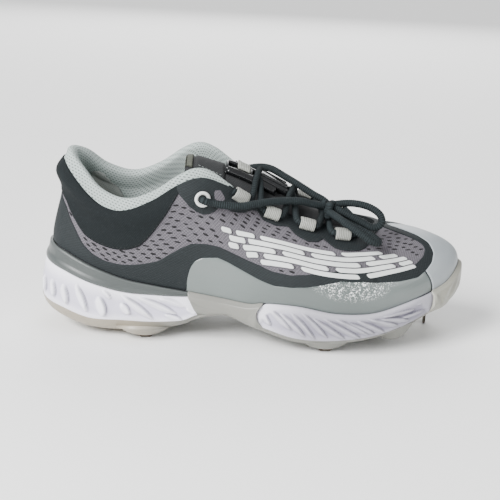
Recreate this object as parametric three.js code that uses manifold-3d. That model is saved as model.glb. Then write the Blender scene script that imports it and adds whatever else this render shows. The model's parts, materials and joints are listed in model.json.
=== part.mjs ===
// Baseball cleat, right shoe. Millimetres, +X from heel to toe, +Y to the inner (medial) side, +Z up.
// The stud tips stand on z = 0 and the group's origin is under the middle of the shoe.
import * as THREE from "three";
import Module from "manifold-3d";
import { mergeVertices } from "three/addons/utils/BufferGeometryUtils.js";

const wasm = await Module();
wasm.setup();

// Driving sizes.
const shoeLength = 300;
const ballWidth = 108;
const heelHeight = 126;
const instepHeight = 120;
const soleStack = 33;
const fit = 0.4;
const upperWall = 2.2;
const collarPad = 7;
const overlayThickness = 0.8;
const randLip = 2.4;
const upperLip = 0.8;
const shankWall = 2.2;
const insoleThickness = 3.6;
const tongueThickness = 4.5;
const laceDiameter = 5;
const webbingThickness = 1.1;
const webbingWidth = 10.5;
const eyeletRadius = 5.4;
const bladeThickness = 2.2;
const bladeWidth = 11;
const bladeSeat = 3.2;
const soleCrown = 2.4;

const halfSteps = 2;
const outerRows = 11;
const innerRows = 5;

// One row per section from the heel back to the toe tip. x is a share of the shoe length.
// lateral, medial and flare are shares of the ball width; the heights are shares of the sole stack.
const sectionColumns = [
  "name", "x", "lateral", "medial", "bite", "foamTop", "foamLow", "edge", "foot", "flare", "wall", "cover",
];
const sectionRows = [
  ["heel back", 0.0233, 0, 0, 1.818, 1.455, 0.606, 0.455, 1, 0.0796, 0, 1],
  ["heel curve", 0.035, -0.1343, 0.1343, 1.8, 1.424, 0.594, 0.424, 1, 0.0769, 0, 1],
  ["heel corner", 0.0667, -0.2315, 0.2315, 1.727, 1.348, 0.545, 0.318, 1, 0.0704, 0, 1],
  ["heel", 0.1267, -0.2917, 0.287, 1.5, 1.152, 0.388, 0.182, 1, 0.0593, 0, 1],
  ["heel front", 0.2, -0.3056, 0.2917, 1.267, 0.994, 0.382, 0.152, 0.985, 0.0519, 0, 1],
  ["heel breast", 0.2733, -0.3056, 0.2824, 1.145, 0.958, 0.376, 0.182, 0.93, 0.05, 0, 1],
  ["shank start", 0.3367, -0.3056, 0.2639, 1.058, 0.945, 0.436, 0.321, 0.89, 0.0481, 0.04, 0.9],
  ["shank back", 0.3733, -0.3102, 0.25, 1.006, 0.955, 0.576, 0.473, 0.86, 0.0426, 1, 0.36],
  ["arch", 0.4333, -0.3287, 0.25, 0.939, 0.897, 0.673, 0.564, 0.812, 0.0389, 1, 0.3],
  ["shank front", 0.49, -0.3704, 0.2778, 0.903, 0.867, 0.533, 0.412, 0.739, 0.0444, 1, 0.34],
  ["ball back", 0.5267, -0.3981, 0.3102, 0.965, 0.945, 0.47, 0.36, 0.685, 0.0537, 0.04, 0.95],
  ["lateral ball", 0.6, -0.4444, 0.3843, 0.985, 0.97, 0.32, 0.215, 0.61, 0.0556, 0, 1],
  ["ball", 0.6833, -0.4583, 0.4444, 0.88, 0.867, 0.333, 0.228, 0.56, 0.0556, 0, 1],
  ["medial ball", 0.7667, -0.4259, 0.4583, 0.885, 0.873, 0.433, 0.325, 0.61, 0.0556, 0, 1],
  ["toe root", 0.84, -0.3519, 0.4213, 1.042, 1.03, 0.624, 0.51, 0.77, 0.0519, 0, 1],
  ["toe seam", 0.8933, -0.2639, 0.3611, 1.182, 1.164, 0.79, 0.66, 0.93, 0.0444, 0.04, 0.9],
  ["toe corner", 0.9433, -0.1528, 0.2731, 1.321, 1.303, 0.94, 0.82, 1.091, 0.037, 1, 0.34],
  ["toe curve", 0.9733, -0.037, 0.1806, 1.527, 1.503, 1.12, 1.0, 1.26, 0.026, 1, 0.3],
  ["toe tip", 0.9843, 0.0741, 0.0741, 1.636, 1.606, 1.2, 1.09, 1.33, 0.022, 1, 0.3],
];

// The same rows along the collar and throat. x is a share of the shoe length, y and outward shares of
// the ball width, heights shares of the heel height at the back and of the instep height from the arch on.
const openingColumns = [
  "name", "x", "lateral", "medial", "lateralTop", "medialTop",
  "riseOut", "riseUp", "coverOut", "coverUp", "puff", "pad", "instep",
];
const openingRows = [
  ["heel back", 0.0567, 0, 0, 0.975, 0.975, 0.0093, 0.1111, -0.0139, -0.1587, 0.063, 1, 0],
  ["heel curve", 0.0667, -0.0787, 0.0833, 0.964, 0.972, 0.0093, 0.1111, -0.0093, -0.1587, 0.062, 1, 0],
  ["heel corner", 0.0967, -0.1481, 0.1574, 0.893, 0.939, 0.0139, 0.1111, 0.0046, -0.1508, 0.058, 1, 0],
  ["heel", 0.14, -0.2269, 0.2222, 0.7976, 0.8571, 0.0185, 0.1032, 0.0139, -0.1349, 0.037, 1, 0],
  ["heel front", 0.2, -0.2731, 0.2685, 0.7556, 0.8159, 0.0231, 0.1111, 0.0185, -0.127, 0.0278, 1, 0],
  ["heel breast", 0.26, -0.2824, 0.2778, 0.8114, 0.8757, 0.0231, 0.127, 0.0185, -0.1429, 0.0231, 1, 0.25],
  ["shank start", 0.3133, -0.2778, 0.2778, 0.9089, 0.9756, 0.0231, 0.1587, 0.0185, -0.1746, 0.0204, 1, 0.5],
  ["shank back", 0.3533, -0.2685, 0.2685, 0.9655, 1.028, 0.0231, 0.1905, 0.0231, -0.2063, 0.0185, 1, 0.75],
  ["arch", 0.39, -0.25, 0.2546, 0.97, 1.025, 0.0278, 0.2143, 0.037, -0.2063, 0.0111, 0.7, 1],
  ["shank front", 0.43, -0.2176, 0.2361, 0.9083, 0.9667, 0.0324, 0.2302, 0.0602, -0.1746, 0.0037, 0.25, 1],
  ["ball back", 0.4633, -0.1898, 0.2176, 0.85, 0.9083, 0.037, 0.2381, 0.0833, -0.1429, 0, 0, 1],
  ["lateral ball", 0.5167, -0.1667, 0.2083, 0.7833, 0.8417, 0.0463, 0.2381, 0.1111, -0.1111, 0, 0, 1],
  ["ball", 0.5767, -0.1435, 0.1991, 0.7292, 0.7833, 0.0556, 0.2302, 0.1389, -0.0873, 0, 0, 1],
  ["medial ball", 0.6367, -0.125, 0.1898, 0.6875, 0.7333, 0.0556, 0.2143, 0.1574, -0.0714, 0, 0, 1],
  ["toe root", 0.69, -0.1019, 0.1806, 0.6583, 0.6958, 0.0463, 0.1984, 0.1759, -0.0556, 0, 0, 1],
  ["toe seam", 0.73, -0.0648, 0.162, 0.6458, 0.675, 0.0324, 0.1746, 0.213, -0.0437, 0, 0, 1],
  ["toe corner", 0.7583, -0.0185, 0.1296, 0.6483, 0.665, 0.0185, 0.1508, 0.2593, -0.0357, 0, 0, 1],
  ["toe curve", 0.7717, 0.0278, 0.0972, 0.655, 0.66, 0.0093, 0.1349, 0.3056, -0.0357, 0, 0, 1],
  ["toe tip", 0.775, 0.0648, 0.0648, 0.6583, 0.6583, 0.0046, 0.123, 0.3241, -0.0357, 0, 0, 1],
];

const rowCount = sectionRows.length;
const loopCount = 2 * (rowCount - 1) * halfSteps;
const toeIndex = loopCount / 2;

function column(rows, columns, name) {
  const at = columns.indexOf(name);
  return rows.map((row) => row[at]);
}

// Values for both sides of the shoe become one closed ring: heel back, lateral side, toe tip, medial side.
function ring(lateral, medial) {
  return [...lateral, ...medial.slice(1, -1).reverse()];
}

// A closed cubic through the ring's values, or straight steps between them.
function sampled(values, straight = false) {
  const out = [];
  const count = values.length;
  for (let i = 0; i < count; i += 1) {
    const before = values[(i + count - 1) % count];
    const here = values[i];
    const next = values[(i + 1) % count];
    const after = values[(i + 2) % count];
    for (let s = 0; s < halfSteps; s += 1) {
      const t = s / halfSteps;
      if (straight) {
        out.push(here + (next - here) * t);
      } else {
        const a = 2 * here;
        const b = (next - before) * t;
        const c = (2 * before - 5 * here + 4 * next - after) * t * t;
        const d = (3 * here - before - 3 * next + after) * t * t * t;
        out.push((a + b + c + d) / 2);
      }
    }
  }
  return out;
}

function sectionRing(lateral, medial, size, straight) {
  const one = column(sectionRows, sectionColumns, lateral);
  const other = column(sectionRows, sectionColumns, medial);
  return sampled(ring(one, other), straight).map((v) => v * size);
}

function openingRing(lateral, medial, size, straight) {
  const one = column(openingRows, openingColumns, lateral);
  const other = column(openingRows, openingColumns, medial);
  return sampled(ring(one, other), straight).map((v) => v * size);
}

// Plan directions that point away from the inside of a closed loop.
function outwardOf(xs, ys) {
  return xs.map((_, k) => {
    const a = (k + 1) % xs.length;
    const b = (k + xs.length - 1) % xs.length;
    const dx = xs[a] - xs[b];
    const dy = ys[a] - ys[b];
    const length = Math.hypot(dx, dy);
    return [dy / length, -dx / length];
  });
}

const bite = {
  x: sectionRing("x", "x", shoeLength),
  y: sectionRing("lateral", "medial", ballWidth),
  z: sectionRing("bite", "bite", soleStack),
};
const biteOut = outwardOf(bite.x, bite.y);
const foamTop = sectionRing("foamTop", "foamTop", soleStack);
const foamLow = sectionRing("foamLow", "foamLow", soleStack);
const edgeLow = sectionRing("edge", "edge", soleStack);
const footbed = sectionRing("foot", "foot", soleStack);
const flare = sectionRing("flare", "flare", ballWidth);
const wallShare = sectionRing("wall", "wall", 1, true);
const coverShare = sectionRing("cover", "cover", 1, true);

const instepShare = openingRing("instep", "instep", 1, true);
const openingShare = openingRing("lateralTop", "medialTop", 1);
const opening = {
  x: openingRing("x", "x", shoeLength),
  y: openingRing("lateral", "medial", ballWidth),
  z: openingShare.map((v, k) => v * (heelHeight + (instepHeight - heelHeight) * instepShare[k])),
};
const openingOut = outwardOf(opening.x, opening.y);
const riseOut = openingRing("riseOut", "riseOut", ballWidth);
const riseUp = openingRing("riseUp", "riseUp", heelHeight);
const coverOut = openingRing("coverOut", "coverOut", ballWidth);
const coverUp = openingRing("coverUp", "coverUp", heelHeight);
const puff = openingRing("puff", "puff", ballWidth);
const padShare = openingRing("pad", "pad", 1);

// The upper's outer surface: k runs round the shoe, v from the bite line (0) up to the collar or throat (1).
function upperAt(k, v) {
  const i = (k + loopCount) % loopCount;
  const start = [bite.x[i], bite.y[i], bite.z[i]];
  const end = [opening.x[i], opening.y[i], opening.z[i]];
  const first = [
    start[0] + biteOut[i][0] * riseOut[i],
    start[1] + biteOut[i][1] * riseOut[i],
    start[2] + riseUp[i],
  ];
  const second = [
    end[0] + openingOut[i][0] * coverOut[i],
    end[1] + openingOut[i][1] * coverOut[i],
    end[2] + coverUp[i],
  ];
  const u = 1 - v;
  const swell = puff[i] * Math.exp(-(((v - 0.8) / 0.13) ** 2));
  return [0, 1, 2].map((a) => {
    const curve =
      u * u * u * start[a] + 3 * u * u * v * first[a] + 3 * u * v * v * second[a] + v * v * v * end[a];
    return curve + (a < 2 ? openingOut[i][a] * swell : 0);
  });
}

function minus(a, b) {
  return [a[0] - b[0], a[1] - b[1], a[2] - b[2]];
}

function along(a, n, d) {
  return [a[0] + n[0] * d, a[1] + n[1] * d, a[2] + n[2] * d];
}

function unit(a) {
  const length = Math.hypot(...a) || 1;
  return [a[0] / length, a[1] / length, a[2] / length];
}

function cross(a, b) {
  return [a[1] * b[2] - a[2] * b[1], a[2] * b[0] - a[0] * b[2], a[0] * b[1] - a[1] * b[0]];
}

// Unit direction out of the upper's surface.
function upperOut(k, v) {
  const low = Math.max(0, v - 0.03);
  const high = Math.min(1, v + 0.03);
  const round = minus(upperAt(k + 1, v), upperAt(k - 1, v));
  const up = minus(upperAt(k, high), upperAt(k, low));
  return unit(cross(round, up));
}

// Thickness of the upper: a thin wall that swells into the padded collar.
function thicknessAt(k, v) {
  const i = (k + loopCount) % loopCount;
  const t = THREE.MathUtils.smoothstep(v, 0.45, 0.9);
  return upperWall + (collarPad - upperWall) * Math.max(0, padShare[i]) * t;
}

// Below the bite line the upper tucks in to the footbed; t is 0 at the bite line and 1 at its lower edge.
const tuckShare = 0.03;
function tuckAt(k, t, offset = 0) {
  const inward = tuckShare * ballWidth * t - offset;
  const low = footbed[k] + fit;
  return [
    bite.x[k] - biteOut[k][0] * inward,
    bite.y[k] - biteOut[k][1] * inward,
    bite.z[k] + (low - bite.z[k]) * t,
  ];
}

function foamTopTuck(k) {
  return (bite.z[k] - foamTop[k]) / (bite.z[k] - footbed[k] - fit);
}

const indices = [...Array(loopCount).keys()];

function loopOf(pointAt) {
  return indices.map(pointAt);
}

// A point out from the bite line in plan, at its own height.
function besideBite(k, out, z) {
  return [bite.x[k] + biteOut[k][0] * out, bite.y[k] + biteOut[k][1] * out, z];
}

// One closed geometry, faces outwards.
function closedGeometry(points, triangles) {
  let volume = 0;
  triangles.forEach(([a, b, c]) => {
    const n = cross(points[b], points[c]);
    volume += points[a][0] * n[0] + points[a][1] * n[1] + points[a][2] * n[2];
  });
  const faces = volume < 0 ? triangles.map(([a, b, c]) => [a, c, b]) : triangles;
  const geometry = new THREE.BufferGeometry();
  geometry.setAttribute("position", new THREE.Float32BufferAttribute(points.flat(), 3));
  geometry.setIndex(faces.flat());
  return geometry;
}

function quad(list, a, b, c, d) {
  list.push([a, b, c], [a, c, d]);
}

// Loops joined one after the other and the last one back to the first: a wall with an open middle.
function ringSolid(loops) {
  const triangles = [];
  const count = loops[0].length;
  loops.forEach((_, j) => {
    const next = (j + 1) % loops.length;
    for (let k = 0; k < count; k += 1) {
      const k1 = (k + 1) % count;
      quad(triangles, j * count + k, j * count + k1, next * count + k1, next * count + k);
    }
  });
  return closedGeometry(loops.flat(), triangles);
}

// Loops joined one after the other, closed below and above by surfaces that span from side to side.
function cappedSolid(loops, crownLow, crownHigh, spans = 4) {
  const points = loops.flat();
  const triangles = [];
  const count = loops[0].length;
  for (let j = 0; j + 1 < loops.length; j += 1) {
    for (let k = 0; k < count; k += 1) {
      const k1 = (k + 1) % count;
      quad(triangles, j * count + k, j * count + k1, (j + 1) * count + k1, (j + 1) * count + k);
    }
  }
  const cap = (loopIndex, crown, turned) => {
    const base = loopIndex * count;
    const half = count / 2;
    const rows = [];
    for (let k = 1; k < half; k += 1) {
      const row = [base + k];
      const a = points[base + k];
      const b = points[base + count - k];
      const reach = Math.min(1, Math.hypot(a[0] - b[0], a[1] - b[1]) / (ballWidth * 0.6));
      for (let s = 1; s < spans; s += 1) {
        const t = s / spans;
        const rise = 4 * t * (1 - t) * crown * reach;
        row.push(points.length);
        points.push([a[0] + (b[0] - a[0]) * t, a[1] + (b[1] - a[1]) * t, a[2] + (b[2] - a[2]) * t + rise]);
      }
      row.push(base + count - k);
      rows.push(row);
    }
    const add = (a, b, c) => triangles.push(turned ? [a, c, b] : [a, b, c]);
    const first = rows[0];
    const last = rows[rows.length - 1];
    for (let s = 0; s < spans; s += 1) {
      add(base, first[s], first[s + 1]);
      add(base + half, last[s + 1], last[s]);
    }
    for (let r = 0; r + 1 < rows.length; r += 1) {
      for (let s = 0; s < spans; s += 1) {
        add(rows[r][s], rows[r + 1][s], rows[r + 1][s + 1]);
        add(rows[r][s], rows[r + 1][s + 1], rows[r][s + 1]);
      }
    }
  };
  cap(0, crownLow, true);
  cap(loops.length - 1, crownHigh, false);
  return closedGeometry(points, triangles);
}

// Two matching grids, one above the other, closed round their edge: a curved sheet with a thickness.
function sheetSolid(outer, inner) {
  const rows = outer.length;
  const columns = outer[0].length;
  const points = [...outer.flat(), ...inner.flat()];
  const half = rows * columns;
  const triangles = [];
  for (let r = 0; r + 1 < rows; r += 1) {
    for (let c = 0; c + 1 < columns; c += 1) {
      const a = r * columns + c;
      quad(triangles, a, a + 1, a + columns + 1, a + columns);
      quad(triangles, half + a, half + a + columns, half + a + columns + 1, half + a + 1);
    }
  }
  for (let r = 0; r + 1 < rows; r += 1) {
    const a = r * columns;
    const b = a + columns - 1;
    quad(triangles, a, a + columns, half + a + columns, half + a);
    quad(triangles, b, half + b, half + b + columns, b + columns);
  }
  for (let c = 0; c + 1 < columns; c += 1) {
    const b = (rows - 1) * columns + c;
    quad(triangles, c, half + c, half + c + 1, c + 1);
    quad(triangles, b, b + 1, half + b + 1, half + b);
  }
  return closedGeometry(points, triangles);
}

function solidFrom(geometry) {
  const bare = geometry.clone();
  bare.deleteAttribute("normal");
  bare.deleteAttribute("uv");
  const merged = mergeVertices(bare, 1e-4);
  return new wasm.Manifold(
    new wasm.Mesh({
      numProp: 3,
      vertProperties: merged.attributes.position.array,
      triVerts: new Uint32Array(merged.index.array),
    }),
  );
}

function geometryFrom(solid) {
  const mesh = solid.getMesh();
  const geometry = new THREE.BufferGeometry();
  geometry.setAttribute("position", new THREE.BufferAttribute(mesh.vertProperties.slice(), 3));
  geometry.setIndex(new THREE.BufferAttribute(mesh.triVerts.slice(), 1));
  return geometry;
}

const shoe = new THREE.Group();

function add(name, geometry, color, roughness, metalness = 0) {
  const mesh = new THREE.Mesh(geometry, new THREE.MeshStandardMaterial({ color, roughness, metalness }));
  mesh.name = name;
  shoe.add(mesh);
  return mesh;
}

// Upper: one hollow wall, open at the collar and throat and underneath.
function levels(count) {
  return [...Array(count).keys()].map((j) => (j + 1) / count);
}
const upperOuter = [
  loopOf((k) => tuckAt(k, 1)),
  loopOf((k) => tuckAt(k, foamTopTuck(k))),
  loopOf((k) => upperAt(k, 0)),
  ...levels(outerRows).map((v) => loopOf((k) => upperAt(k, v))),
];
const upperInner = [
  loopOf((k) => tuckAt(k, 1, -upperWall)),
  loopOf((k) => tuckAt(k, foamTopTuck(k), -upperWall)),
  loopOf((k) => tuckAt(k, 0, -upperWall)),
  ...levels(innerRows).map((v) => loopOf((k) => along(upperAt(k, v), upperOut(k, v), -thicknessAt(k, v)))),
];
const rim = loopOf((k) => {
  const outer = upperAt(k, 1);
  const half = thicknessAt(k, 1) / 2;
  const middle = along(outer, upperOut(k, 1), -half);
  return [middle[0], middle[1], middle[2] + half * 0.7];
});
add("upper", ringSolid([...upperOuter, rim, ...upperInner.reverse()]), 0x88848a, 0.9);

// Midsole: foam cup whose side flares at the heel and the forefoot and steps back under the shank and toe.
const foamLevels = [
  [0, 0.78],
  [0.3, 1],
  [0.65, 0.86],
  [1, 0.5],
];

// Share of the flare at a height in the foam, straight between its levels.
function flareShareAt(height) {
  const next = Math.max(1, foamLevels.findIndex(([h]) => h >= height));
  const [h0, s0] = foamLevels[next - 1];
  const [h1, s1] = foamLevels[next];
  return s0 + ((s1 - s0) * (height - h0)) / (h1 - h0);
}

function foamOut(k, height) {
  return fit + upperLip + (flareShareAt(height) * flare[k] - fit) * coverShare[k];
}

function foamAt(k, height, extra = 0) {
  return besideBite(k, foamOut(k, height) + extra, foamLow[k] + (foamTop[k] - foamLow[k]) * height);
}
add(
  "midsole",
  cappedSolid(
    [
      ...foamLevels.map(([height]) => loopOf((k) => foamAt(k, height))),
      loopOf((k) => tuckAt(k, foamTopTuck(k), fit)),
      loopOf((k) => {
        const p = tuckAt(k, 1, fit);
        return [p[0], p[1], footbed[k]];
      }),
    ],
    soleCrown,
    0,
  ),
  0xdedde6,
  0.6,
);

// Heel rand: a band of its own height on the foam's edge, round the back of the upper.
const randEnd = 13;
const randKeys = [...Array(2 * randEnd + 1).keys()].map((n) => (n - randEnd + loopCount) % loopCount);
const randHeights = [0, 1];
function randAt(k, height, inside) {
  const t = foamTopTuck(k) * (1 - height);
  const low = foamTop[k] + fit;
  const z = low + (bite.z[k] - low) * height;
  if (inside) {
    const p = tuckAt(k, t, fit);
    return [p[0], p[1], z];
  }
  const bottom = foamOut(k, 1);
  return besideBite(k, bottom + (randLip - bottom) * height, z);
}
add(
  "heel_rand",
  sheetSolid(
    randKeys.map((k) => randHeights.map((h) => randAt(k, h, false))),
    randKeys.map((k) => randHeights.map((h) => randAt(k, h, true))),
  ),
  0x7d8380,
  0.55,
);

// Insole: follows the footbed inside the wall.
function insoleLoop(height) {
  return loopOf((k) => {
    const p = tuckAt(k, 1, -upperWall - 2 * fit);
    return [p[0], p[1], footbed[k] + fit + height];
  });
}
add("insole", cappedSolid([insoleLoop(0), insoleLoop(insoleThickness)], 0, 0, 2), 0xb9bfbd, 0.9);

// Outsole: plate under the foam, with side walls that rise round the shank and the toe.
const plateLip = 0.04;
const wallGap = fit + 0.2;
const wallEndSwell = 1.6;
function wallAt(k, height, extra) {
  const share = Math.min(1, Math.max(plateLip, wallShare[k]));
  return foamAt(k, share * height, extra + wallEndSwell * 4 * share * (1 - share));
}
const wallHeights = [0, 0.5, 1];
const plate = cappedSolid(
  [
    loopOf((k) => besideBite(k, foamOut(k, 0) - 5, edgeLow[k])),
    loopOf((k) => besideBite(k, foamOut(k, 0) - 1, edgeLow[k] + 0.4)),
    loopOf((k) => besideBite(k, foamOut(k, 0) + 1.2, (edgeLow[k] + foamLow[k]) / 2)),
    ...wallHeights.map((height) => loopOf((k) => wallAt(k, height, wallGap + shankWall))),
    ...foamLevels.toReversed().map(([height]) => loopOf((k) => wallAt(k, height, wallGap))),
    loopOf((k) => besideBite(k, foamOut(k, 0), foamLow[k] - fit)),
  ],
  soleCrown,
  soleCrown,
);

// Middle of the plate's thickness at a plan position, given as x and a share from lateral to medial edge.
function plateSpot(x, across) {
  let near = 1;
  for (let k = 1; k < toeIndex; k += 1) {
    if (Math.abs(bite.x[k] - x) < Math.abs(bite.x[near] - x)) {
      near = k;
    }
  }
  const other = loopCount - near;
  const y = bite.y[near] + (bite.y[other] - bite.y[near]) * across;
  const low = (edgeLow[near] + foamLow[near]) / 2;
  return [x, y, low + 4 * across * (1 - across) * soleCrown * 0.9];
}

// Studs: a moulded mound under the plate with a steel blade seated in it; tips stand on the ground.
// x and the mound's lengths are shares of the shoe length, across a share from lateral to medial edge.
const studColumns = ["name", "x", "across", "turn", "moundLength", "moundWidth", "moundLow", "blade"];
const studRows = [
  ["heel_lateral", 0.253, -0.01, 15, 0.12, 0.062, 2.6, 1],
  ["heel_medial", 0.253, 1.01, -15, 0.12, 0.062, 2.6, 1],
  ["heel_back", 0.1, 0.5, 90, 0.06, 0.05, 3.2, 1],
  ["ball_lateral", 0.667, 0.045, 8, 0.12, 0.056, 2.6, 1],
  ["ball_medial", 0.71, 0.955, -8, 0.12, 0.056, 2.6, 1],
  ["ball_middle", 0.735, 0.42, 90, 0.05, 0.042, 3.4, 1],
  ["toe_lateral", 0.825, 0.075, 24, 0.105, 0.06, 6.5, 0],
  ["toe_medial", 0.93, 0.72, 80, 0.045, 0.04, 6.5, 1],
];
const clearOfFoam = solidFrom(
  cappedSolid(
    [
      loopOf((k) => besideBite(k, foamOut(k, 0) + fit, foamLow[k] - fit - 0.1)),
      ...foamLevels.slice(1).map(([height]) => loopOf((k) => foamAt(k, height, fit))),
    ],
    soleCrown,
    0,
  ),
);
let sole = solidFrom(plate);
const blades = [];
studRows.forEach((row) => {
  const stud = Object.fromEntries(studColumns.map((name, i) => [name, row[i]]));
  const [x, y, z] = plateSpot(stud.x * shoeLength, stud.across);
  const turn = THREE.MathUtils.degToRad(stud.turn);
  const profile = [
    new THREE.Vector2(0, stud.moundLow),
    new THREE.Vector2(0.42, stud.moundLow),
    new THREE.Vector2(0.66, stud.moundLow + (z - stud.moundLow) * 0.45),
    new THREE.Vector2(1, z),
    new THREE.Vector2(0, z),
  ];
  const mound = new THREE.LatheGeometry(profile, 12);
  mound.rotateX(Math.PI / 2);
  mound.scale((stud.moundLength * shoeLength) / 2, (stud.moundWidth * shoeLength) / 2, 1);
  mound.rotateZ(stud.blade && Math.abs(stud.turn) > 45 ? 0 : turn);
  mound.translate(x, y, 0);
  sole = sole.add(solidFrom(mound).subtract(clearOfFoam));
  if (!stud.blade) {
    return;
  }
  const top = stud.moundLow + bladeSeat;
  const seat = new THREE.BoxGeometry(bladeWidth + 2 * fit, bladeThickness + 2 * fit, 2 * bladeSeat + 2 * fit);
  seat.translate(0, 0, stud.moundLow);
  seat.rotateZ(turn);
  seat.translate(x, y, 0);
  sole = sole.subtract(solidFrom(seat));
  const outline = new THREE.Shape();
  outline.moveTo(-bladeWidth * 0.32, 0);
  outline.lineTo(bladeWidth * 0.32, 0);
  outline.lineTo(bladeWidth / 2, stud.moundLow);
  outline.lineTo(bladeWidth / 2, top);
  outline.lineTo(-bladeWidth / 2, top);
  outline.lineTo(-bladeWidth / 2, stud.moundLow);
  outline.closePath();
  const blade = new THREE.ExtrudeGeometry(outline, { depth: bladeThickness, bevelEnabled: false });
  blade.translate(0, 0, -bladeThickness / 2);
  blade.rotateX(Math.PI / 2);
  blade.rotateZ(turn);
  blades.push([`blade_${stud.name}`, blade, x, y]);
});
add("outsole", geometryFrom(sole), 0x8f8f87, 0.7);
blades.forEach(([name, geometry, x, y]) => {
  add(name, geometry, 0x8a7466, 0.35, 0.9).position.set(x, y, 0);
});

// A place on the upper's own facets, straight between its levels.
function facetAt(k, v) {
  const level = Math.min(outerRows - 1, Math.floor(v * outerRows));
  const t = v * outerRows - level;
  const low = upperAt(k, level / outerRows);
  const high = upperAt(k, (level + 1) / outerRows);
  return low.map((value, i) => value + (high[i] - value) * t);
}

// Overlays: thin panels over the upper's own surface. low and high are places up the wall.
const overlayGap = 1.5 * fit;
function overlay(keys, low, high, columns, gap = overlayGap) {
  const shares = [...Array(columns + 1).keys()].map((c) => c / columns);
  const grid = (offset) =>
    keys.map((k, i) =>
      shares.map((s) => {
        const v = low[i] + (high[i] - low[i]) * s;
        return along(facetAt(k, v), upperOut(k, v), offset);
      }),
    );
  return sheetSolid(grid(gap + overlayThickness), grid(gap));
}

function between(start, end) {
  return [...Array(end - start + 1).keys()].map((n) => start + n);
}

function mirrored(list) {
  return [...list, ...list.slice(0, -1).reverse()];
}

const toeCapHigh = mirrored([0.29, 0.35, 0.43, 0.56, 0.83, 0.92]);
add(
  "toe_cap",
  overlay(between(toeIndex - 5, toeIndex + 5), toeCapHigh.map(() => 0.03), toeCapHigh, 8, 2.2 * fit),
  0xaeb4b8,
  0.5,
);

const counterHigh = mirrored([0.4, 0.36, 0.3, 0.26, 0.2, 0.2, 0.27, 0.4, 0.46, 0.5, 0.54, 0.56, 0.57]);
add(
  "heel_counter",
  overlay(between(-12, 12), counterHigh.map(() => 0.03), counterHigh, 2),
  0x363f41,
  0.7,
);

const collarLow = mirrored([0.82, 0.74, 0.6, 0.52, 0.45, 0.42, 0.43, 0.45, 0.5, 0.56, 0.58, 0.6, 0.61]);
const collarHigh = mirrored([0.9, 0.9, 0.9, 0.89, 0.88, 0.87, 0.86, 0.86, 0.87, 0.87, 0.88, 0.9, 0.9]);
add("collar_panel", overlay(between(-12, 12), collarLow, collarHigh, 5, 2.4 * fit), 0x363f41, 0.75);

const filmHigh = [0.2, 0.3, 0.33, 0.34, 0.33, 0.3, 0.27, 0.22, 0.18, 0.16, 0.16, 0.2, 0.26, 0.3, 0.28, 0.26, 0.26, 0.27];
add("side_film_lateral", overlay(between(13, 30), filmHigh.map(() => 0.03), filmHigh, 2), 0x98a3a1, 0.25);
add(
  "side_film_medial",
  overlay(between(loopCount - 30, loopCount - 13), filmHigh.map(() => 0.03), filmHigh.toReversed(), 2),
  0x98a3a1,
  0.25,
);

const eyestayLow = [
  0.74, 0.7, 0.7, 0.72, 0.75, 0.77, 0.76, 0.77, 0.74, 0.76, 0.73, 0.7, 0.7, 0.66, 0.64, 0.66, 0.72, 0.78,
];
const eyestayHigh = eyestayLow.map((_, i) => (i < 4 ? 0.9 + i * 0.02 : 0.97));
add("eyestay_lateral", overlay(between(13, 30), eyestayLow, eyestayHigh, 2), 0x3a4345, 0.8);
add(
  "eyestay_medial",
  overlay(between(loopCount - 30, loopCount - 13), eyestayLow.toReversed(), eyestayHigh.toReversed(), 2),
  0x3a4345,
  0.8,
);

// Tongue: a padded arch under the throat. x and y, half width and drop are shares of the sizes named below.
const tongueColumns = ["x", "y", "ridge", "halfWidth", "drop"];
const tongueRows = [
  [0.327, 0.0185, 1.0083, 0.139, 0.05],
  [0.353, 0.0185, 1.0125, 0.1667, 0.075],
  [0.393, 0.0185, 0.9875, 0.1806, 0.1083],
  [0.447, 0.0185, 0.9542, 0.1898, 0.15],
  [0.5, 0.0185, 0.9042, 0.1944, 0.165],
  [0.56, 0.0231, 0.8292, 0.1991, 0.162],
  [0.62, 0.0278, 0.748, 0.1991, 0.153],
  [0.68, 0.037, 0.688, 0.1898, 0.135],
  [0.733, 0.0463, 0.6458, 0.1759, 0.11],
  [0.78, 0.0556, 0.6042, 0.1574, 0.085],
  [0.82, 0.0648, 0.575, 0.1296, 0.067],
];
function tongueAt(r, across, offset = 0) {
  const row = Math.min(tongueRows.length - 2, Math.floor(r));
  const t = r - row;
  const [x, y, ridge, half, drop] = tongueColumns.map(
    (_, c) => tongueRows[row][c] + (tongueRows[row + 1][c] - tongueRows[row][c]) * t,
  );
  const point = [
    x * shoeLength,
    (y + half * across) * ballWidth,
    (ridge - drop * across * across) * instepHeight,
  ];
  if (!offset) {
    return point;
  }
  const a = minus(tongueAt(Math.min(r + 0.1, tongueRows.length - 1), across), tongueAt(Math.max(r - 0.1, 0), across));
  const b = minus(tongueAt(r, Math.min(1, across + 0.1)), tongueAt(r, Math.max(-1, across - 0.1)));
  return along(point, unit(cross(a, b)), offset);
}
function onTongue(from, to, halfAcross, low, high, rows, columns) {
  const steps = [...Array(rows + 1).keys()].map((n) => from + ((to - from) * n) / rows);
  const spread = [...Array(columns + 1).keys()].map((n) => -halfAcross + (2 * halfAcross * n) / columns);
  const grid = (offset) => steps.map((r) => spread.map((c) => tongueAt(r, c, offset)));
  return sheetSolid(grid(high), grid(low));
}
const tongueEnd = tongueRows.length - 1;
add("tongue", onTongue(0, tongueEnd, 1, -tongueThickness, 0, tongueEnd, 8), 0x3c3c3c, 0.85);
add("tongue_webbing", onTongue(0.15, 0.7, 0.8, fit, fit + 1.2, 2, 6), 0x6a6c62, 0.85);
add("lace_guide", onTongue(2.6, 4.2, 0.36, fit, fit + 2.2, 4, 4), 0x17191b, 0.25);

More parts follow.
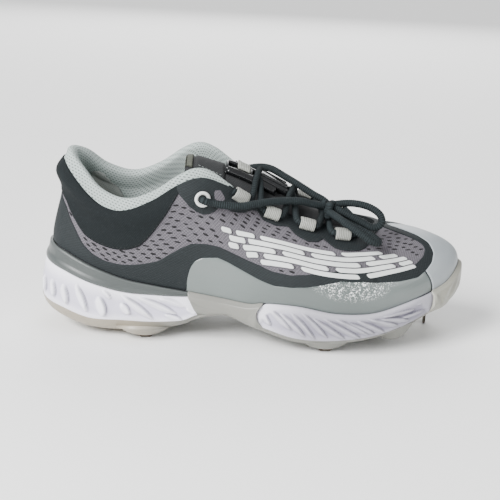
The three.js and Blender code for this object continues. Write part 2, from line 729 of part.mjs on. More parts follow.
// Places on the eyestay: k round the shoe, v up the wall, for the lateral side; the medial side mirrors k.
const overEyestay = overlayGap + overlayThickness + fit;
function frameAt(k, v, lift) {
  const low = Math.floor(k);
  const t = k - low;
  const mix = (a, b) => a.map((value, i) => value + (b[i] - value) * t);
  const point = mix(upperAt(low, v), upperAt(low + 1, v));
  const normal = unit(mix(upperOut(low, v), upperOut(low + 1, v)));
  const round = unit(minus(upperAt(low + 1, v), upperAt(low, v)));
  const up = unit(cross(normal, round));
  const matrix = new THREE.Matrix4().makeBasis(
    new THREE.Vector3(...round),
    new THREE.Vector3(...unit(cross(up, normal)).map((value, i) => up[i])),
    new THREE.Vector3(...normal),
  );
  matrix.setPosition(...along(point, normal, lift));
  return matrix;
}

// Lace loops: flat webbing folded to a low tunnel, on the eyestay beside the throat.
const loopTunnel = 3.4;
const loopDrop = 9;
const loopPlaces = [
  [19.3, 0.93],
  [22.2, 0.88],
  [24.8, 0.86],
  [27.3, 0.8],
];
function tunnelGeometry() {
  const wide = loopDrop / 2;
  const high = loopTunnel + 2 * webbingThickness;
  const rounded = (w, h, base) => {
    const points = [];
    for (let i = 0; i <= 5; i += 1) {
      const angle = (Math.PI * i) / 5;
      points.push(new THREE.Vector2(w * Math.cos(angle), base + h * Math.sin(angle) ** 0.7));
    }
    return points;
  };
  const outline = new THREE.Shape(rounded(wide, high, 0));
  outline.holes.push(
    new THREE.Path(rounded(wide - 1.4 * webbingThickness, high - 2 * webbingThickness, webbingThickness)),
  );
  const tunnel = new THREE.ExtrudeGeometry(outline, { depth: webbingWidth, bevelEnabled: false });
  tunnel.translate(0, 0, -webbingWidth / 2);
  tunnel.rotateY(Math.PI / 2);
  tunnel.rotateX(Math.PI / 2);
  return tunnel;
}
loopPlaces.forEach(([k, v], i) => {
  [
    ["lateral", k],
    ["medial", loopCount - k],
  ].forEach(([side, place]) => {
    const geometry = tunnelGeometry();
    geometry.applyMatrix4(frameAt(place, v, overEyestay + 0.3));
    add(`lace_loop_${side}_${i + 1}`, geometry, 0xd5d6d0, 0.85);
  });
});

// Top eyelets: a ring on each side.
const eyeletPlace = [14.8, 0.79];
const eyeletHole = 2.9;
[
  ["lateral", eyeletPlace[0]],
  ["medial", loopCount - eyeletPlace[0]],
].forEach(([side, place]) => {
  const ringGeometry = new THREE.LatheGeometry(
    [
      [eyeletHole, 0],
      [eyeletRadius, 0],
      [eyeletRadius, 0.7],
      [(eyeletRadius + eyeletHole) / 2, 1.5],
      [eyeletHole, 1],
      [eyeletHole, 0],
    ].map(([r, z]) => new THREE.Vector2(r, z)),
    12,
  );
  ringGeometry.rotateX(Math.PI / 2);
  ringGeometry.applyMatrix4(frameAt(place, eyeletPlace[1], overEyestay + 0.2));
  add(`eyelet_${side}`, ringGeometry, 0xdfe1de, 0.5);
});

// A round cord along chosen points.
function cordAlong(points, steps, diameter = laceDiameter, sides = 8) {
  const section = new THREE.Shape();
  for (let i = 0; i < sides; i += 1) {
    const angle = (2 * Math.PI * i) / sides;
    const at = [(Math.cos(angle) * diameter) / 2, (Math.sin(angle) * diameter) / 2];
    if (i === 0) {
      section.moveTo(...at);
    } else {
      section.lineTo(...at);
    }
  }
  section.closePath();
  const path = new THREE.CatmullRomCurve3(
    points.map((p) => new THREE.Vector3(...p)),
    false,
    "centripetal",
  );
  return new THREE.ExtrudeGeometry(section, { steps, extrudePath: path, bevelEnabled: false });
}

// A point above the tongue, x along the shoe and across from lateral (-1) to medial (1).
function aboveTongue(x, across, lift) {
  let r = 0;
  while (r < tongueEnd - 0.05 && tongueAt(r, across)[0] < x) {
    r += 0.05;
  }
  return tongueAt(r, across, lift);
}

// Lace crossings: the lower rows of lace over the tongue, joined where they cross and meet.
const crossingLift = laceDiameter / 2 + fit + 0.2;
const crossingEnds = [0.525, 0.583, 0.645, 0.706];
const crossingReach = 0.52;
let crossings = null;
for (let i = 0; i + 1 < crossingEnds.length; i += 1) {
  [-1, 1].forEach((side) => {
    const from = crossingEnds[i] * shoeLength;
    const to = crossingEnds[i + 1] * shoeLength;
    const points = [-1, -0.5, 0, 0.5, 1].map((t) => {
      const x = from + ((to - from) * (t + 1)) / 2;
      return aboveTongue(x, side * t * crossingReach, crossingLift);
    });
    const bar = solidFrom(cordAlong(points, 4));
    crossings = crossings ? crossings.add(bar) : bar;
  });
}
add("lace_crossings", geometryFrom(crossings), 0x3a4446, 0.85);

// The tied lace: a strand from each top eyelet to the knot, and the bow's two loops.
function eyeletSpot(place, lift) {
  return new THREE.Vector3(0, 0, 0).applyMatrix4(frameAt(place, eyeletPlace[1], lift)).toArray();
}
const laceStart = overEyestay + 1.7 + 3 * fit + laceDiameter / 2;
const knot = [199, -8, 92.8];
const lateralStrand = [
  eyeletSpot(eyeletPlace[0], laceStart),
  [118, -37.6, 99.2],
  [127, -37.6, 98],
  [138, -35.4, 97.4],
  [148, -31.4, 98.4],
  [159, -25.4, 99],
  [179, -17, 98],
  [187.5, -13.2, 95.4],
  [194, -10.5, 93.9],
];
const medialStrand = [
  eyeletSpot(loopCount - eyeletPlace[0], laceStart - 2.5 * fit),
  [119, 37.4, 106],
  [129, 37.6, 105.6],
  [139, 36.2, 107],
  [149, 31, 110],
  [158, 18, 112],
  [168, 7, 109.2],
  [180, -0.4, 104],
  [188, -3.9, 100],
  [194.8, -6.2, 97],
];
const openLoop = [
  [205, -7.4, 94.9],
  [216.5, -11.6, 96.8],
  [226.6, -16, 95.6],
  [233.6, -20, 91.4],
  [234.6, -22, 86.8],
  [230, -22, 83],
  [220, -18, 86],
  [206.8, -12.6, 91.4],
];
const narrowLoop = [
  [202.6, -13.1, 87.5],
  [211, -19.6, 84.9],
  [221.2, -26.4, 81.6],
  [229, -31.4, 78.6],
  [231.6, -35.6, 76.5],
  [227.6, -37.6, 77.2],
  [218, -34.6, 82.6],
  [206, -26.4, 88.8],
  [198.4, -14, 91.2],
];
add("lace_strand_lateral", cordAlong(lateralStrand, 14), 0x3a4446, 0.85);
add("lace_strand_medial", cordAlong(medialStrand, 14), 0x3a4446, 0.85);
add("lace_bow_open", cordAlong(openLoop, 20), 0x3a4446, 0.85);
add("lace_bow_narrow", cordAlong(narrowLoop, 20), 0x3a4446, 0.85);
const knotGeometry = new THREE.SphereGeometry(1, 10, 7);
knotGeometry.scale(5.6, 5, 4.7);
add("lace_knot", knotGeometry, 0x3a4446, 0.85).position.set(...knot);

// The group's origin: under the middle of the shoe's own box, the tied lace left aside.
const tiedLace = ["lace_strand_lateral", "lace_strand_medial", "lace_bow_open", "lace_bow_narrow", "lace_knot"];
const own = new THREE.Box3();
shoe.children
  .filter((mesh) => !tiedLace.includes(mesh.name))
  .forEach((mesh) => own.union(new THREE.Box3().setFromObject(mesh, true)));
const middle = own.getCenter(new THREE.Vector3());
shoe.position.set(-middle.x, -middle.y, -own.min.z);
export default shoe;
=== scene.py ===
# Baseball cleat, right shoe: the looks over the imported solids.
# The shoe's own tables are in millimetres from the heel; finished meshes are in metres in the shared frame.
import bmesh
import bpy
import json
import math
import numpy as np
from mathutils import Matrix, Vector

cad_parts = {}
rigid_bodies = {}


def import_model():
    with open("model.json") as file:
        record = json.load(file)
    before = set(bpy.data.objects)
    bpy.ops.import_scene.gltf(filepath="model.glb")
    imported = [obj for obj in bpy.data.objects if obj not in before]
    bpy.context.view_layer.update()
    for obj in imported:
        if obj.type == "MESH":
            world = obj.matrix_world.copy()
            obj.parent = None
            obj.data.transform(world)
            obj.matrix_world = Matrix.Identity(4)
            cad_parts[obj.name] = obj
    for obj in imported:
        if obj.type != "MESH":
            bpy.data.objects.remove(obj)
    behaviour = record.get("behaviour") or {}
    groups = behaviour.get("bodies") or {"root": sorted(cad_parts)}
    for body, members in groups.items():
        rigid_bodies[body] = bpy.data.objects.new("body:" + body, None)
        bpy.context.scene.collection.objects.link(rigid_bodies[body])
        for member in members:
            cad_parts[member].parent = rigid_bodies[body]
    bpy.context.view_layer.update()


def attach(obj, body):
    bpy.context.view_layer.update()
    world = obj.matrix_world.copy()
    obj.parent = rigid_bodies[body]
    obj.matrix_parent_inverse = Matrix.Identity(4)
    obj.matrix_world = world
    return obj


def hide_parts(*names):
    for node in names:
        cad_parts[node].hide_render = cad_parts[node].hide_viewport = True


for old in list(bpy.data.objects):
    bpy.data.objects.remove(old)
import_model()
print("frame loaded")

last = {
    "length": 300.0, "ball": 108.0, "heel": 126.0, "instep": 120.0, "stack": 33.0,
    "fit": 0.4, "wall": 2.2, "collarPad": 7.0, "lip": 0.8, "tuck": 0.03,
    "shift": (-148.00617, 0.00453, 0.0),
}
# one row per section from the heel back to the toe tip:
# x, lateral, medial, bite, foam top, foam low, edge, foot, flare, wall, cover
sectionRows = [
    (0.0233, 0, 0, 1.818, 1.455, 0.606, 0.455, 1, 0.0796, 0, 1),
    (0.035, -0.1343, 0.1343, 1.8, 1.424, 0.594, 0.424, 1, 0.0769, 0, 1),
    (0.0667, -0.2315, 0.2315, 1.727, 1.348, 0.545, 0.318, 1, 0.0704, 0, 1),
    (0.1267, -0.2917, 0.287, 1.5, 1.152, 0.388, 0.182, 1, 0.0593, 0, 1),
    (0.2, -0.3056, 0.2917, 1.267, 0.994, 0.382, 0.152, 0.985, 0.0519, 0, 1),
    (0.2733, -0.3056, 0.2824, 1.145, 0.958, 0.376, 0.182, 0.93, 0.05, 0, 1),
    (0.3367, -0.3056, 0.2639, 1.058, 0.945, 0.436, 0.321, 0.89, 0.0481, 0.04, 0.9),
    (0.3733, -0.3102, 0.25, 1.006, 0.955, 0.576, 0.473, 0.86, 0.0426, 1, 0.36),
    (0.4333, -0.3287, 0.25, 0.939, 0.897, 0.673, 0.564, 0.812, 0.0389, 1, 0.3),
    (0.49, -0.3704, 0.2778, 0.903, 0.867, 0.533, 0.412, 0.739, 0.0444, 1, 0.34),
    (0.5267, -0.3981, 0.3102, 0.965, 0.945, 0.47, 0.36, 0.685, 0.0537, 0.04, 0.95),
    (0.6, -0.4444, 0.3843, 0.985, 0.97, 0.32, 0.215, 0.61, 0.0556, 0, 1),
    (0.6833, -0.4583, 0.4444, 0.88, 0.867, 0.333, 0.228, 0.56, 0.0556, 0, 1),
    (0.7667, -0.4259, 0.4583, 0.885, 0.873, 0.433, 0.325, 0.61, 0.0556, 0, 1),
    (0.84, -0.3519, 0.4213, 1.042, 1.03, 0.624, 0.51, 0.77, 0.0519, 0, 1),
    (0.8933, -0.2639, 0.3611, 1.182, 1.164, 0.79, 0.66, 0.93, 0.0444, 0.04, 0.9),
    (0.9433, -0.1528, 0.2731, 1.321, 1.303, 0.94, 0.82, 1.091, 0.037, 1, 0.34),
    (0.9733, -0.037, 0.1806, 1.527, 1.503, 1.12, 1.0, 1.26, 0.026, 1, 0.3),
    (0.9843, 0.0741, 0.0741, 1.636, 1.606, 1.2, 1.09, 1.33, 0.022, 1, 0.3),
]
# the same rows along the collar and throat: x, lateral, medial, lateral top, medial top,
# rise out, rise up, cover out, cover up, puff, pad, instep
openingRows = [
    (0.0567, 0, 0, 0.975, 0.975, 0.0093, 0.1111, -0.0139, -0.1587, 0.063, 1, 0),
    (0.0667, -0.0787, 0.0833, 0.964, 0.972, 0.0093, 0.1111, -0.0093, -0.1587, 0.062, 1, 0),
    (0.0967, -0.1481, 0.1574, 0.893, 0.939, 0.0139, 0.1111, 0.0046, -0.1508, 0.058, 1, 0),
    (0.14, -0.2269, 0.2222, 0.7976, 0.8571, 0.0185, 0.1032, 0.0139, -0.1349, 0.037, 1, 0),
    (0.2, -0.2731, 0.2685, 0.7556, 0.8159, 0.0231, 0.1111, 0.0185, -0.127, 0.0278, 1, 0),
    (0.26, -0.2824, 0.2778, 0.8114, 0.8757, 0.0231, 0.127, 0.0185, -0.1429, 0.0231, 1, 0.25),
    (0.3133, -0.2778, 0.2778, 0.9089, 0.9756, 0.0231, 0.1587, 0.0185, -0.1746, 0.0204, 1, 0.5),
    (0.3533, -0.2685, 0.2685, 0.9655, 1.028, 0.0231, 0.1905, 0.0231, -0.2063, 0.0185, 1, 0.75),
    (0.39, -0.25, 0.2546, 0.97, 1.025, 0.0278, 0.2143, 0.037, -0.2063, 0.0111, 0.7, 1),
    (0.43, -0.2176, 0.2361, 0.9083, 0.9667, 0.0324, 0.2302, 0.0602, -0.1746, 0.0037, 0.25, 1),
    (0.4633, -0.1898, 0.2176, 0.85, 0.9083, 0.037, 0.2381, 0.0833, -0.1429, 0, 0, 1),
    (0.5167, -0.1667, 0.2083, 0.7833, 0.8417, 0.0463, 0.2381, 0.1111, -0.1111, 0, 0, 1),
    (0.5767, -0.1435, 0.1991, 0.7292, 0.7833, 0.0556, 0.2302, 0.1389, -0.0873, 0, 0, 1),
    (0.6367, -0.125, 0.1898, 0.6875, 0.7333, 0.0556, 0.2143, 0.1574, -0.0714, 0, 0, 1),
    (0.69, -0.1019, 0.1806, 0.6583, 0.6958, 0.0463, 0.1984, 0.1759, -0.0556, 0, 0, 1),
    (0.73, -0.0648, 0.162, 0.6458, 0.675, 0.0324, 0.1746, 0.213, -0.0437, 0, 0, 1),
    (0.7583, -0.0185, 0.1296, 0.6483, 0.665, 0.0185, 0.1508, 0.2593, -0.0357, 0, 0, 1),
    (0.7717, 0.0278, 0.0972, 0.655, 0.66, 0.0093, 0.1349, 0.3056, -0.0357, 0, 0, 1),
    (0.775, 0.0648, 0.0648, 0.6583, 0.6583, 0.0046, 0.123, 0.3241, -0.0357, 0, 0, 1),
]
loopSteps = 72      # k runs 0 at the heel back, 1 to 35 lateral, 36 at the toe tip, 37 to 71 medial
toeTip = 36
fine = 8


def ringCurve(rows, lateral, medial, size=1.0, straight=False):
    # one column of the table, or one for each side, as a function of k that runs round the shoe
    one = [row[lateral] for row in rows]
    other = [row[medial] for row in rows]
    values = np.array(one + other[1:-1][::-1], float) * size

    def at(k):
        t = np.mod(np.asarray(k, float) / 2, len(values))
        i = np.floor(t).astype(int)
        f = t - i
        before, here, after, beyond = (values[(i + n) % len(values)] for n in (-1, 0, 1, 2))
        if straight:
            return here + (after - here) * f
        bend = 2 * before - 5 * here + 4 * after - beyond
        swing = 3 * here - before - 3 * after + beyond
        return 0.5 * (2 * here + (after - before) * f + bend * f ** 2 + swing * f ** 3)
    return at


biteX, openX = (ringCurve(rows, 0, 0, last["length"]) for rows in (sectionRows, openingRows))
biteY, openY = (ringCurve(rows, 1, 2, last["ball"]) for rows in (sectionRows, openingRows))
biteZ, foamTop, foamLow, edgeLow, footbed = (ringCurve(sectionRows, n, n, last["stack"]) for n in range(3, 8))
flare = ringCurve(sectionRows, 8, 8, last["ball"])
wallShare, coverShare = (ringCurve(sectionRows, n, n, 1, True) for n in (9, 10))
openShare = ringCurve(openingRows, 3, 4)
riseOut, coverOut, puff = (ringCurve(openingRows, n, n, last["ball"]) for n in (5, 7, 9))
riseUp, coverUp = (ringCurve(openingRows, n, n, last["heel"]) for n in (6, 8))
padShare = ringCurve(openingRows, 10, 10)
instepShare = ringCurve(openingRows, 11, 11, 1, True)


def paired(a, b):
    return np.broadcast_arrays(np.asarray(a, float), np.asarray(b, float))


def unit(a):
    return a / np.maximum(np.linalg.norm(a, axis=-1, keepdims=True), 1e-9)


def smoothStep(x, low, high):
    t = np.clip((x - low) / (high - low), 0, 1)
    return t * t * (3 - 2 * t)


def bump4(q, a, b, c, d):
    return smoothStep(q, a, b) * (1 - smoothStep(q, c, d))


def runLength(points, axis=0):
    # length from the first point to each point of a line
    steps = np.linalg.norm(np.diff(points, axis=axis), axis=-1)
    return np.concatenate([np.zeros_like(np.take(steps, [0], axis)), np.cumsum(steps, axis)], axis)


def inFrame(points):
    return (np.asarray(points, float) + np.array(last["shift"])) / 1000


def side(k):
    # the same place on the lateral half of the ring
    k = np.mod(k, loopSteps)
    return np.minimum(k, loopSteps - k)


def alongSide(points):
    # a line drawn on the side of the shoe: v at k, the same on both sides
    ks, vs = zip(*points)
    return lambda k: np.interp(side(np.asarray(k, float)), ks, vs)


def openZ(k):
    return openShare(k) * (last["heel"] + (last["instep"] - last["heel"]) * instepShare(k))


def outward(xAt, yAt, k):
    dx, dy = (at(k + 1) - at(k - 1) for at in (xAt, yAt))
    size = np.hypot(dx, dy)
    return dy / size, -dx / size


def upperAt(k, v):
    # outer surface of the upper: v 0 on the bite line, 1 at the collar or throat
    k, v = paired(k, v)
    bx, by = outward(biteX, biteY, k)
    ox, oy = outward(openX, openY, k)
    start = np.stack([biteX(k), biteY(k), biteZ(k)], -1)
    end = np.stack([openX(k), openY(k), openZ(k)], -1)
    first = start + np.stack([bx * riseOut(k), by * riseOut(k), riseUp(k)], -1)
    second = end + np.stack([ox * coverOut(k), oy * coverOut(k), coverUp(k)], -1)
    u, w = (1 - v)[..., None], v[..., None]
    swell = puff(k) * np.exp(-(((v - 0.8) / 0.13) ** 2))
    curve = u ** 3 * start + 3 * u * u * w * first + 3 * u * w * w * second + w ** 3 * end
    return curve + np.stack([ox * swell, oy * swell, 0 * swell], -1)


def upperOut(k, v):
    k, v = paired(k, v)
    low, high = np.clip(v - 0.03, 0, 1), np.clip(v + 0.03, 0, 1)
    return unit(np.cross(upperAt(k + 0.6, v) - upperAt(k - 0.6, v), upperAt(k, high) - upperAt(k, low)))


def onUpper(k, v, lift=0.0):
    return upperAt(k, v) + upperOut(k, v) * np.asarray(lift, float)[..., None]


def wallThickness(k, v):
    padding = (last["collarPad"] - last["wall"]) * np.maximum(0, padShare(k))
    return last["wall"] + padding * smoothStep(v, 0.45, 0.9)


def besideBite(k, out, z):
    bx, by = outward(biteX, biteY, k)
    return np.stack([biteX(k) + bx * out, biteY(k) + by * out, z + 0 * k], -1)


def tuckAt(k, t, offset=0.0):
    # the upper's edge turned in under the foot: t 0 on the bite line, 1 at the footbed
    inward = last["tuck"] * last["ball"] * t - offset
    return besideBite(k, -inward, biteZ(k) + (footbed(k) + last["fit"] - biteZ(k)) * t)


def foamTuck(k):
    return (biteZ(k) - foamTop(k)) / (biteZ(k) - footbed(k) - last["fit"])


# distance round the shoe and up the wall in millimetres, for patterns that follow the surface
kTable = np.arange(0, toeTip + 0.125, 0.125)
sideLength = runLength(upperAt(kTable, 0.35))


def roundAt(k):
    # the medial half runs on from the toe, back to the heel
    k = np.asarray(k, float)
    return np.where(k <= toeTip, np.interp(k, kTable, sideLength),
                    2 * sideLength[-1] - np.interp(loopSteps - k, kTable, sideLength))


def heightAt(k, v):
    # length up the wall from the bite line to v, at k
    spans = 20
    k, v = paired(k, v)
    rise = runLength(upperAt(k.ravel()[:, None], np.linspace(0, 1, spans + 1)[None, :]), 1)
    place = np.clip(v.ravel(), 0, 1) * spans
    i = np.minimum(place.astype(int), spans - 1)
    f = place - i
    rows = np.arange(len(i))
    return (rise[rows, i] * (1 - f) + rise[rows, i + 1] * f).reshape(k.shape)


# meshes: a part is points, faces, the pattern map at each face's corners and each face's finish
def gridPart(points, closedRows=False, closedColumns=False, uv=None, skin=0):
    # uv has one more row or column where the grid closes on itself
    points = np.asarray(points, float)
    rows, columns = points.shape[:2]
    i, j = (n.ravel() for n in np.meshgrid(np.arange(rows if closedRows else rows - 1),
                                           np.arange(columns if closedColumns else columns - 1), indexing="ij"))
    corners = [(i, j), (i, j + 1), (i + 1, j + 1), (i + 1, j)]
    faces = np.stack([(a % rows) * columns + b % columns for a, b in corners], 1)
    uv = np.zeros((rows + 1, columns + 1, 2)) if uv is None else np.asarray(uv, float)
    cornerUv = np.stack([uv[np.minimum(a, len(uv) - 1), np.minimum(b, uv.shape[1] - 1)] for a, b in corners], 1)
    skins = np.full(len(faces), skin) if np.isscalar(skin) else np.asarray(skin)[i, j]
    return points.reshape(-1, 3), faces, cornerUv, skins


def volumeOf(points, faces):
    a, b, c, d = (points[faces[:, n]] for n in range(4))
    return (np.einsum("ij,ij->i", a, np.cross(b, c)) + np.einsum("ij,ij->i", a, np.cross(c, d))).sum()


def joined(parts):
    starts = np.cumsum([0] + [len(part[0]) for part in parts[:-1]])
    moved = [(points, faces + start, uv, skins) for (points, faces, uv, skins), start in zip(parts, starts)]
    return [np.concatenate(group) for group in zip(*moved)]


def turned(part):
    return part[0], part[1][:, ::-1], part[2][:, ::-1], part[3]


def sheetPart(outer, inner, uv, skin=0):
    # two matching grids closed round their edge; the ends of the columns are drawn together
    section = np.concatenate([outer, inner[::-1]], 0)
    for end in (0, -1):
        section[:, end] = np.concatenate([inner[:, end], inner[::-1, end]], 0)
    return gridPart(section, closedRows=True, uv=np.concatenate([uv, uv[::-1], uv[:1]], 0), skin=skin)


def cappedPart(loops, crownLow, crownHigh, relief=None):
    # loops from bottom to top, closed by surfaces that span from the lateral to the medial side
    loops = np.stack(loops)
    count = loops.shape[1]
    half = count // 2
    if relief is None:
        length = roundAt(np.arange(count + 1) * loopSteps / count)
        uv = np.stack(np.broadcast_arrays(length[None, :], runLength(loops[:, count // 4])[:, None]), -1)
    else:
        uv = np.concatenate([relief, relief[:, :1]], 1)
    parts = [gridPart(loops, closedColumns=True, uv=uv)]
    facesOut = volumeOf(*parts[0][:2]) > 0
    t = np.linspace(0, 1, 11)[:, None, None]
    for loop, crown, top in ((loops[0], crownLow, False), (loops[-1], crownHigh, True)):
        one = loop[:half + 1]
        other = np.concatenate([loop[:1], loop[half:][::-1]])
        reach = np.minimum(1, np.hypot(*(one - other)[:, :2].T) / (last["ball"] * 0.6))
        cap = one[None] + (other - one)[None] * t
        cap[..., 2] += (4 * t * (1 - t) * crown)[..., 0] * reach[None]
        cap = cap if top else cap[::-1]
        part = gridPart(cap, uv=cap[..., :2])
        # the bottom faces down and the top up, as the side faces out
        a, b, c = part[0][part[1][len(part[1]) // 2, :3]]
        facesUp = np.cross(b - a, c - a)[2] > 0
        parts.append(part if facesUp == (top == facesOut) else turned(part))
    return joined(parts)


def addObject(name, data):
    thing = bpy.data.objects.new(name, data)
    bpy.context.scene.collection.objects.link(thing)
    return thing


def makePiece(name, parts, finishNames, replaces=(), weld=2e-5):
    # parts are joined, put in the shared frame in metres, welded and turned to face out
    points, faces, uvs, skins = joined([turned(part) if volumeOf(*part[:2]) < 0 else part for part in parts])
    mesh = bpy.data.meshes.new(name)
    mesh.from_pydata(inFrame(points).tolist(), [], faces.tolist())
    layer = mesh.uv_layers.new(name="pattern")
    layer.data.foreach_set("uv", uvs.reshape(-1).astype(np.float32))
    mesh.polygons.foreach_set("material_index", skins.astype(np.int32))
    mesh.polygons.foreach_set("use_smooth", np.full(len(faces), True))
    for key in finishNames.split():
        mesh.materials.append(finishes[key])
    work = bmesh.new()
    work.from_mesh(mesh)
    bmesh.ops.remove_doubles(work, verts=work.verts, dist=weld)
    bmesh.ops.dissolve_degenerate(work, edges=work.edges, dist=1e-7)
    work.to_mesh(mesh)
    work.free()
    mesh.update()
    piece = addObject(name, mesh)
    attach(piece, "root")
    if replaces:
        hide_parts(*replaces)
    return piece


print("last and mesh tools ready")


# finishes
def linearColour(code):
    values = [int(code[n:n + 2], 16) / 255 for n in (1, 3, 5)]
    return tuple(c / 12.92 if c <= 0.04045 else ((c + 0.055) / 1.055) ** 2.4 for c in values) + (1.0,)


def setInputs(tree, node, inputs):
    # inputs by order or by name: a node stands for its result, a code that starts with # for its colour
    for key, value in inputs.items() if isinstance(inputs, dict) else enumerate(inputs):
        if isinstance(value, bpy.types.Node):
            value = value.outputs[2 if value.bl_idname == "ShaderNodeMix" else 0]
        if isinstance(value, bpy.types.NodeSocket):
            tree.links.new(value, node.inputs[key])
        else:
            node.inputs[key].default_value = linearColour(value) if str(value).startswith("#") else value


def addNode(tree, kind, inputs=(), **settings):
    node = tree.nodes.new(kind if "Node" in kind else "ShaderNode" + kind)
    for name, value in settings.items():
        setattr(node, name, value)
    setInputs(tree, node, inputs)
    return node


def startFinish(name, surface):
    finish = bpy.data.materials.new(name)
    finish.use_nodes = True
    tree = finish.node_tree
    shader = tree.nodes["Principled BSDF"]
    setInputs(tree, shader, surface)
    return finish, tree, shader


def layered(tree, ground, layers):
    # colours laid over each other in turn, each by its own share
    for share, colour, blend in layers:
        ground = addNode(tree, "Mix", {0: share, 6: ground, 7: colour}, data_type="RGBA", blend_type=blend)
    return ground


def wovenFinish(name, cloth):
    # yarn over a darker gap: loops of the cloth's own width and height in millimetres
    cloth = {"weave": "staggered", "specular": 0.2, "sheen": 0.0, "drift": 0.35, "speck": 0.25,
             "gapLow": 0.1, "gapHigh": 0.6, **cloth}
    finish, tree, shader = startFinish(name, {
        "Roughness": cloth["roughness"], "IOR": 1.5, "Specular IOR Level": cloth["specular"],
        "Sheen Weight": cloth["sheen"], "Sheen Roughness": 0.5})
    split = addNode(tree, "SeparateXYZ", [addNode(tree, "UVMap", uv_map="pattern")])
    across = addNode(tree, "Math", [split, cloth["width"]], operation="DIVIDE")
    up = addNode(tree, "Math", [split.outputs[1], cloth["height"]], operation="DIVIDE")
    if cloth["weave"] != "ribs":
        # every other row is set off by half a loop
        row = addNode(tree, "Math", [up], operation="FLOOR")
        across = addNode(tree, "Math", [row, 0.5, across], operation="MULTIPLY_ADD")
    turns = addNode(tree, "Math", [across, 2 * math.pi], operation="MULTIPLY")
    wave = addNode(tree, "Math", [turns], operation="COSINE")
    loops = addNode(tree, "Math", [wave, 0.5, 0.5], operation="MULTIPLY_ADD")
    if cloth["weave"] != "ribs":
        # holes are dark only where both waves are low: separate holes instead of rows
        holed = cloth["weave"] == "holes"
        rowTurns = addNode(tree, "Math", [up, math.pi], operation="MULTIPLY")
        rowWave = addNode(tree, "Math", [rowTurns], operation="COSINE" if holed else "SINE")
        rowLift = addNode(tree, "Math", [rowWave], operation="ABSOLUTE")
        loops = addNode(tree, "Math", [loops, rowLift], operation="MAXIMUM" if holed else "MULTIPLY")
    place = addNode(tree, "TexCoord").outputs["Object"]
    # tone of the cloth drifts slowly, and each yarn differs a little
    drift = addNode(tree, "TexNoise", {"Vector": place, "Scale": 45.0, "Detail": 3.0})
    speck = addNode(tree, "TexNoise", {"Vector": place, "Scale": 900.0, "Detail": 2.0})
    shown = addNode(tree, "MapRange", [loops, cloth["gapLow"], cloth["gapHigh"]], interpolation_type="SMOOTHSTEP")
    driftShare = addNode(tree, "MapRange", [drift, 0.35, 0.7, 0, cloth["drift"]])
    speckShare = addNode(tree, "MapRange", [speck, 0.52, 0.72, 0, cloth["speck"]])
    body = layered(tree, cloth["gap"], [(shown, cloth["yarn"], "MIX"), (driftShare, cloth["shade"], "MIX"),
                                        (speckShare, cloth["fleck"], "MIX")])
    rough = addNode(tree, "Math", [speck, 0.12, loops], operation="MULTIPLY_ADD")
    bump = addNode(tree, "Bump", {"Height": rough, "Strength": cloth["bump"], "Distance": cloth["depth"] / 1000})
    setInputs(tree, shader, {"Base Color": body, "Normal": bump})
    return finish


def mouldedFinish(name, skin):
    # one moulded or filmed skin: a soft mottle, fine grain, paler worn edges and painted shade darkening the hollows
    skin = {"metallic": 0.0, "coat": 0.0, "coatRoughness": 0.15, "mottleScale": 60.0, "wear": 0.4, "dirt": 0.3,
            "soil": skin["shade"], "bump": 0.3, **skin}
    finish, tree, shader = startFinish(name, {
        "Metallic": skin["metallic"], "IOR": 1.5, "Coat Weight": skin["coat"], "Coat Roughness": skin["coatRoughness"]})
    place = addNode(tree, "TexCoord").outputs["Object"]
    pointed = addNode(tree, "NewGeometry").outputs["Pointiness"]
    mottle = addNode(tree, "TexNoise", {"Vector": place, "Scale": skin["mottleScale"], "Detail": 5.0, "Roughness": 0.6})
    layers = [(addNode(tree, "MapRange", [mottle, 0.35, 0.68]), skin["shade"], "MIX"),
              (addNode(tree, "MapRange", [pointed, 0.52, 0.6, 0, skin["wear"]]), skin["edge"], "MIX"),
              # painted shade: darker where the surface is hollow
              (addNode(tree, "MapRange", [pointed, 0.40, 0.49, skin["dirt"], 0]), skin["soil"], "MIX")]
    if "fore" in skin:
        # another tone towards the forefoot: the plate's own cooler colour, and painted shade on the foam
        low, high = skin["foreRange"]
        ahead = addNode(tree, "MapRange", [addNode(tree, "SeparateXYZ", [place]), low, high, 0, skin["foreShare"]],
                        interpolation_type="SMOOTHSTEP")
        layers.append((ahead, skin["fore"], "MIX"))
    if "ground" in skin:
        # the pattern map of the foam holds how raised each place is and how near a leaf's sharp edge: painted shade on
        # the sunk ground between the leaves and a painted shadow line along each sharp edge
        raised = addNode(tree, "SeparateXYZ", [addNode(tree, "UVMap", uv_map="pattern")])
        sunk = addNode(tree, "MapRange", [raised, 0, 1, 1, 0])
        layers += [(sunk, skin["ground"], "MULTIPLY"), (raised.outputs[1], skin["groove"], "MULTIPLY")]
    grain = addNode(tree, "TexNoise", {"Vector": place, "Scale": 1000 / skin["grain"], "Detail": 3.0})
    gloss = addNode(tree, "MapRange", [mottle, 0.3, 0.7, skin["roughness"] - 0.06, skin["roughness"] + 0.08])
    bump = addNode(tree, "Bump", {"Height": grain, "Strength": skin["bump"], "Distance": skin["depth"] / 1000})
    setInputs(tree, shader, {"Base Color": layered(tree, skin["colour"], layers), "Roughness": gloss, "Normal": bump})
    return finish


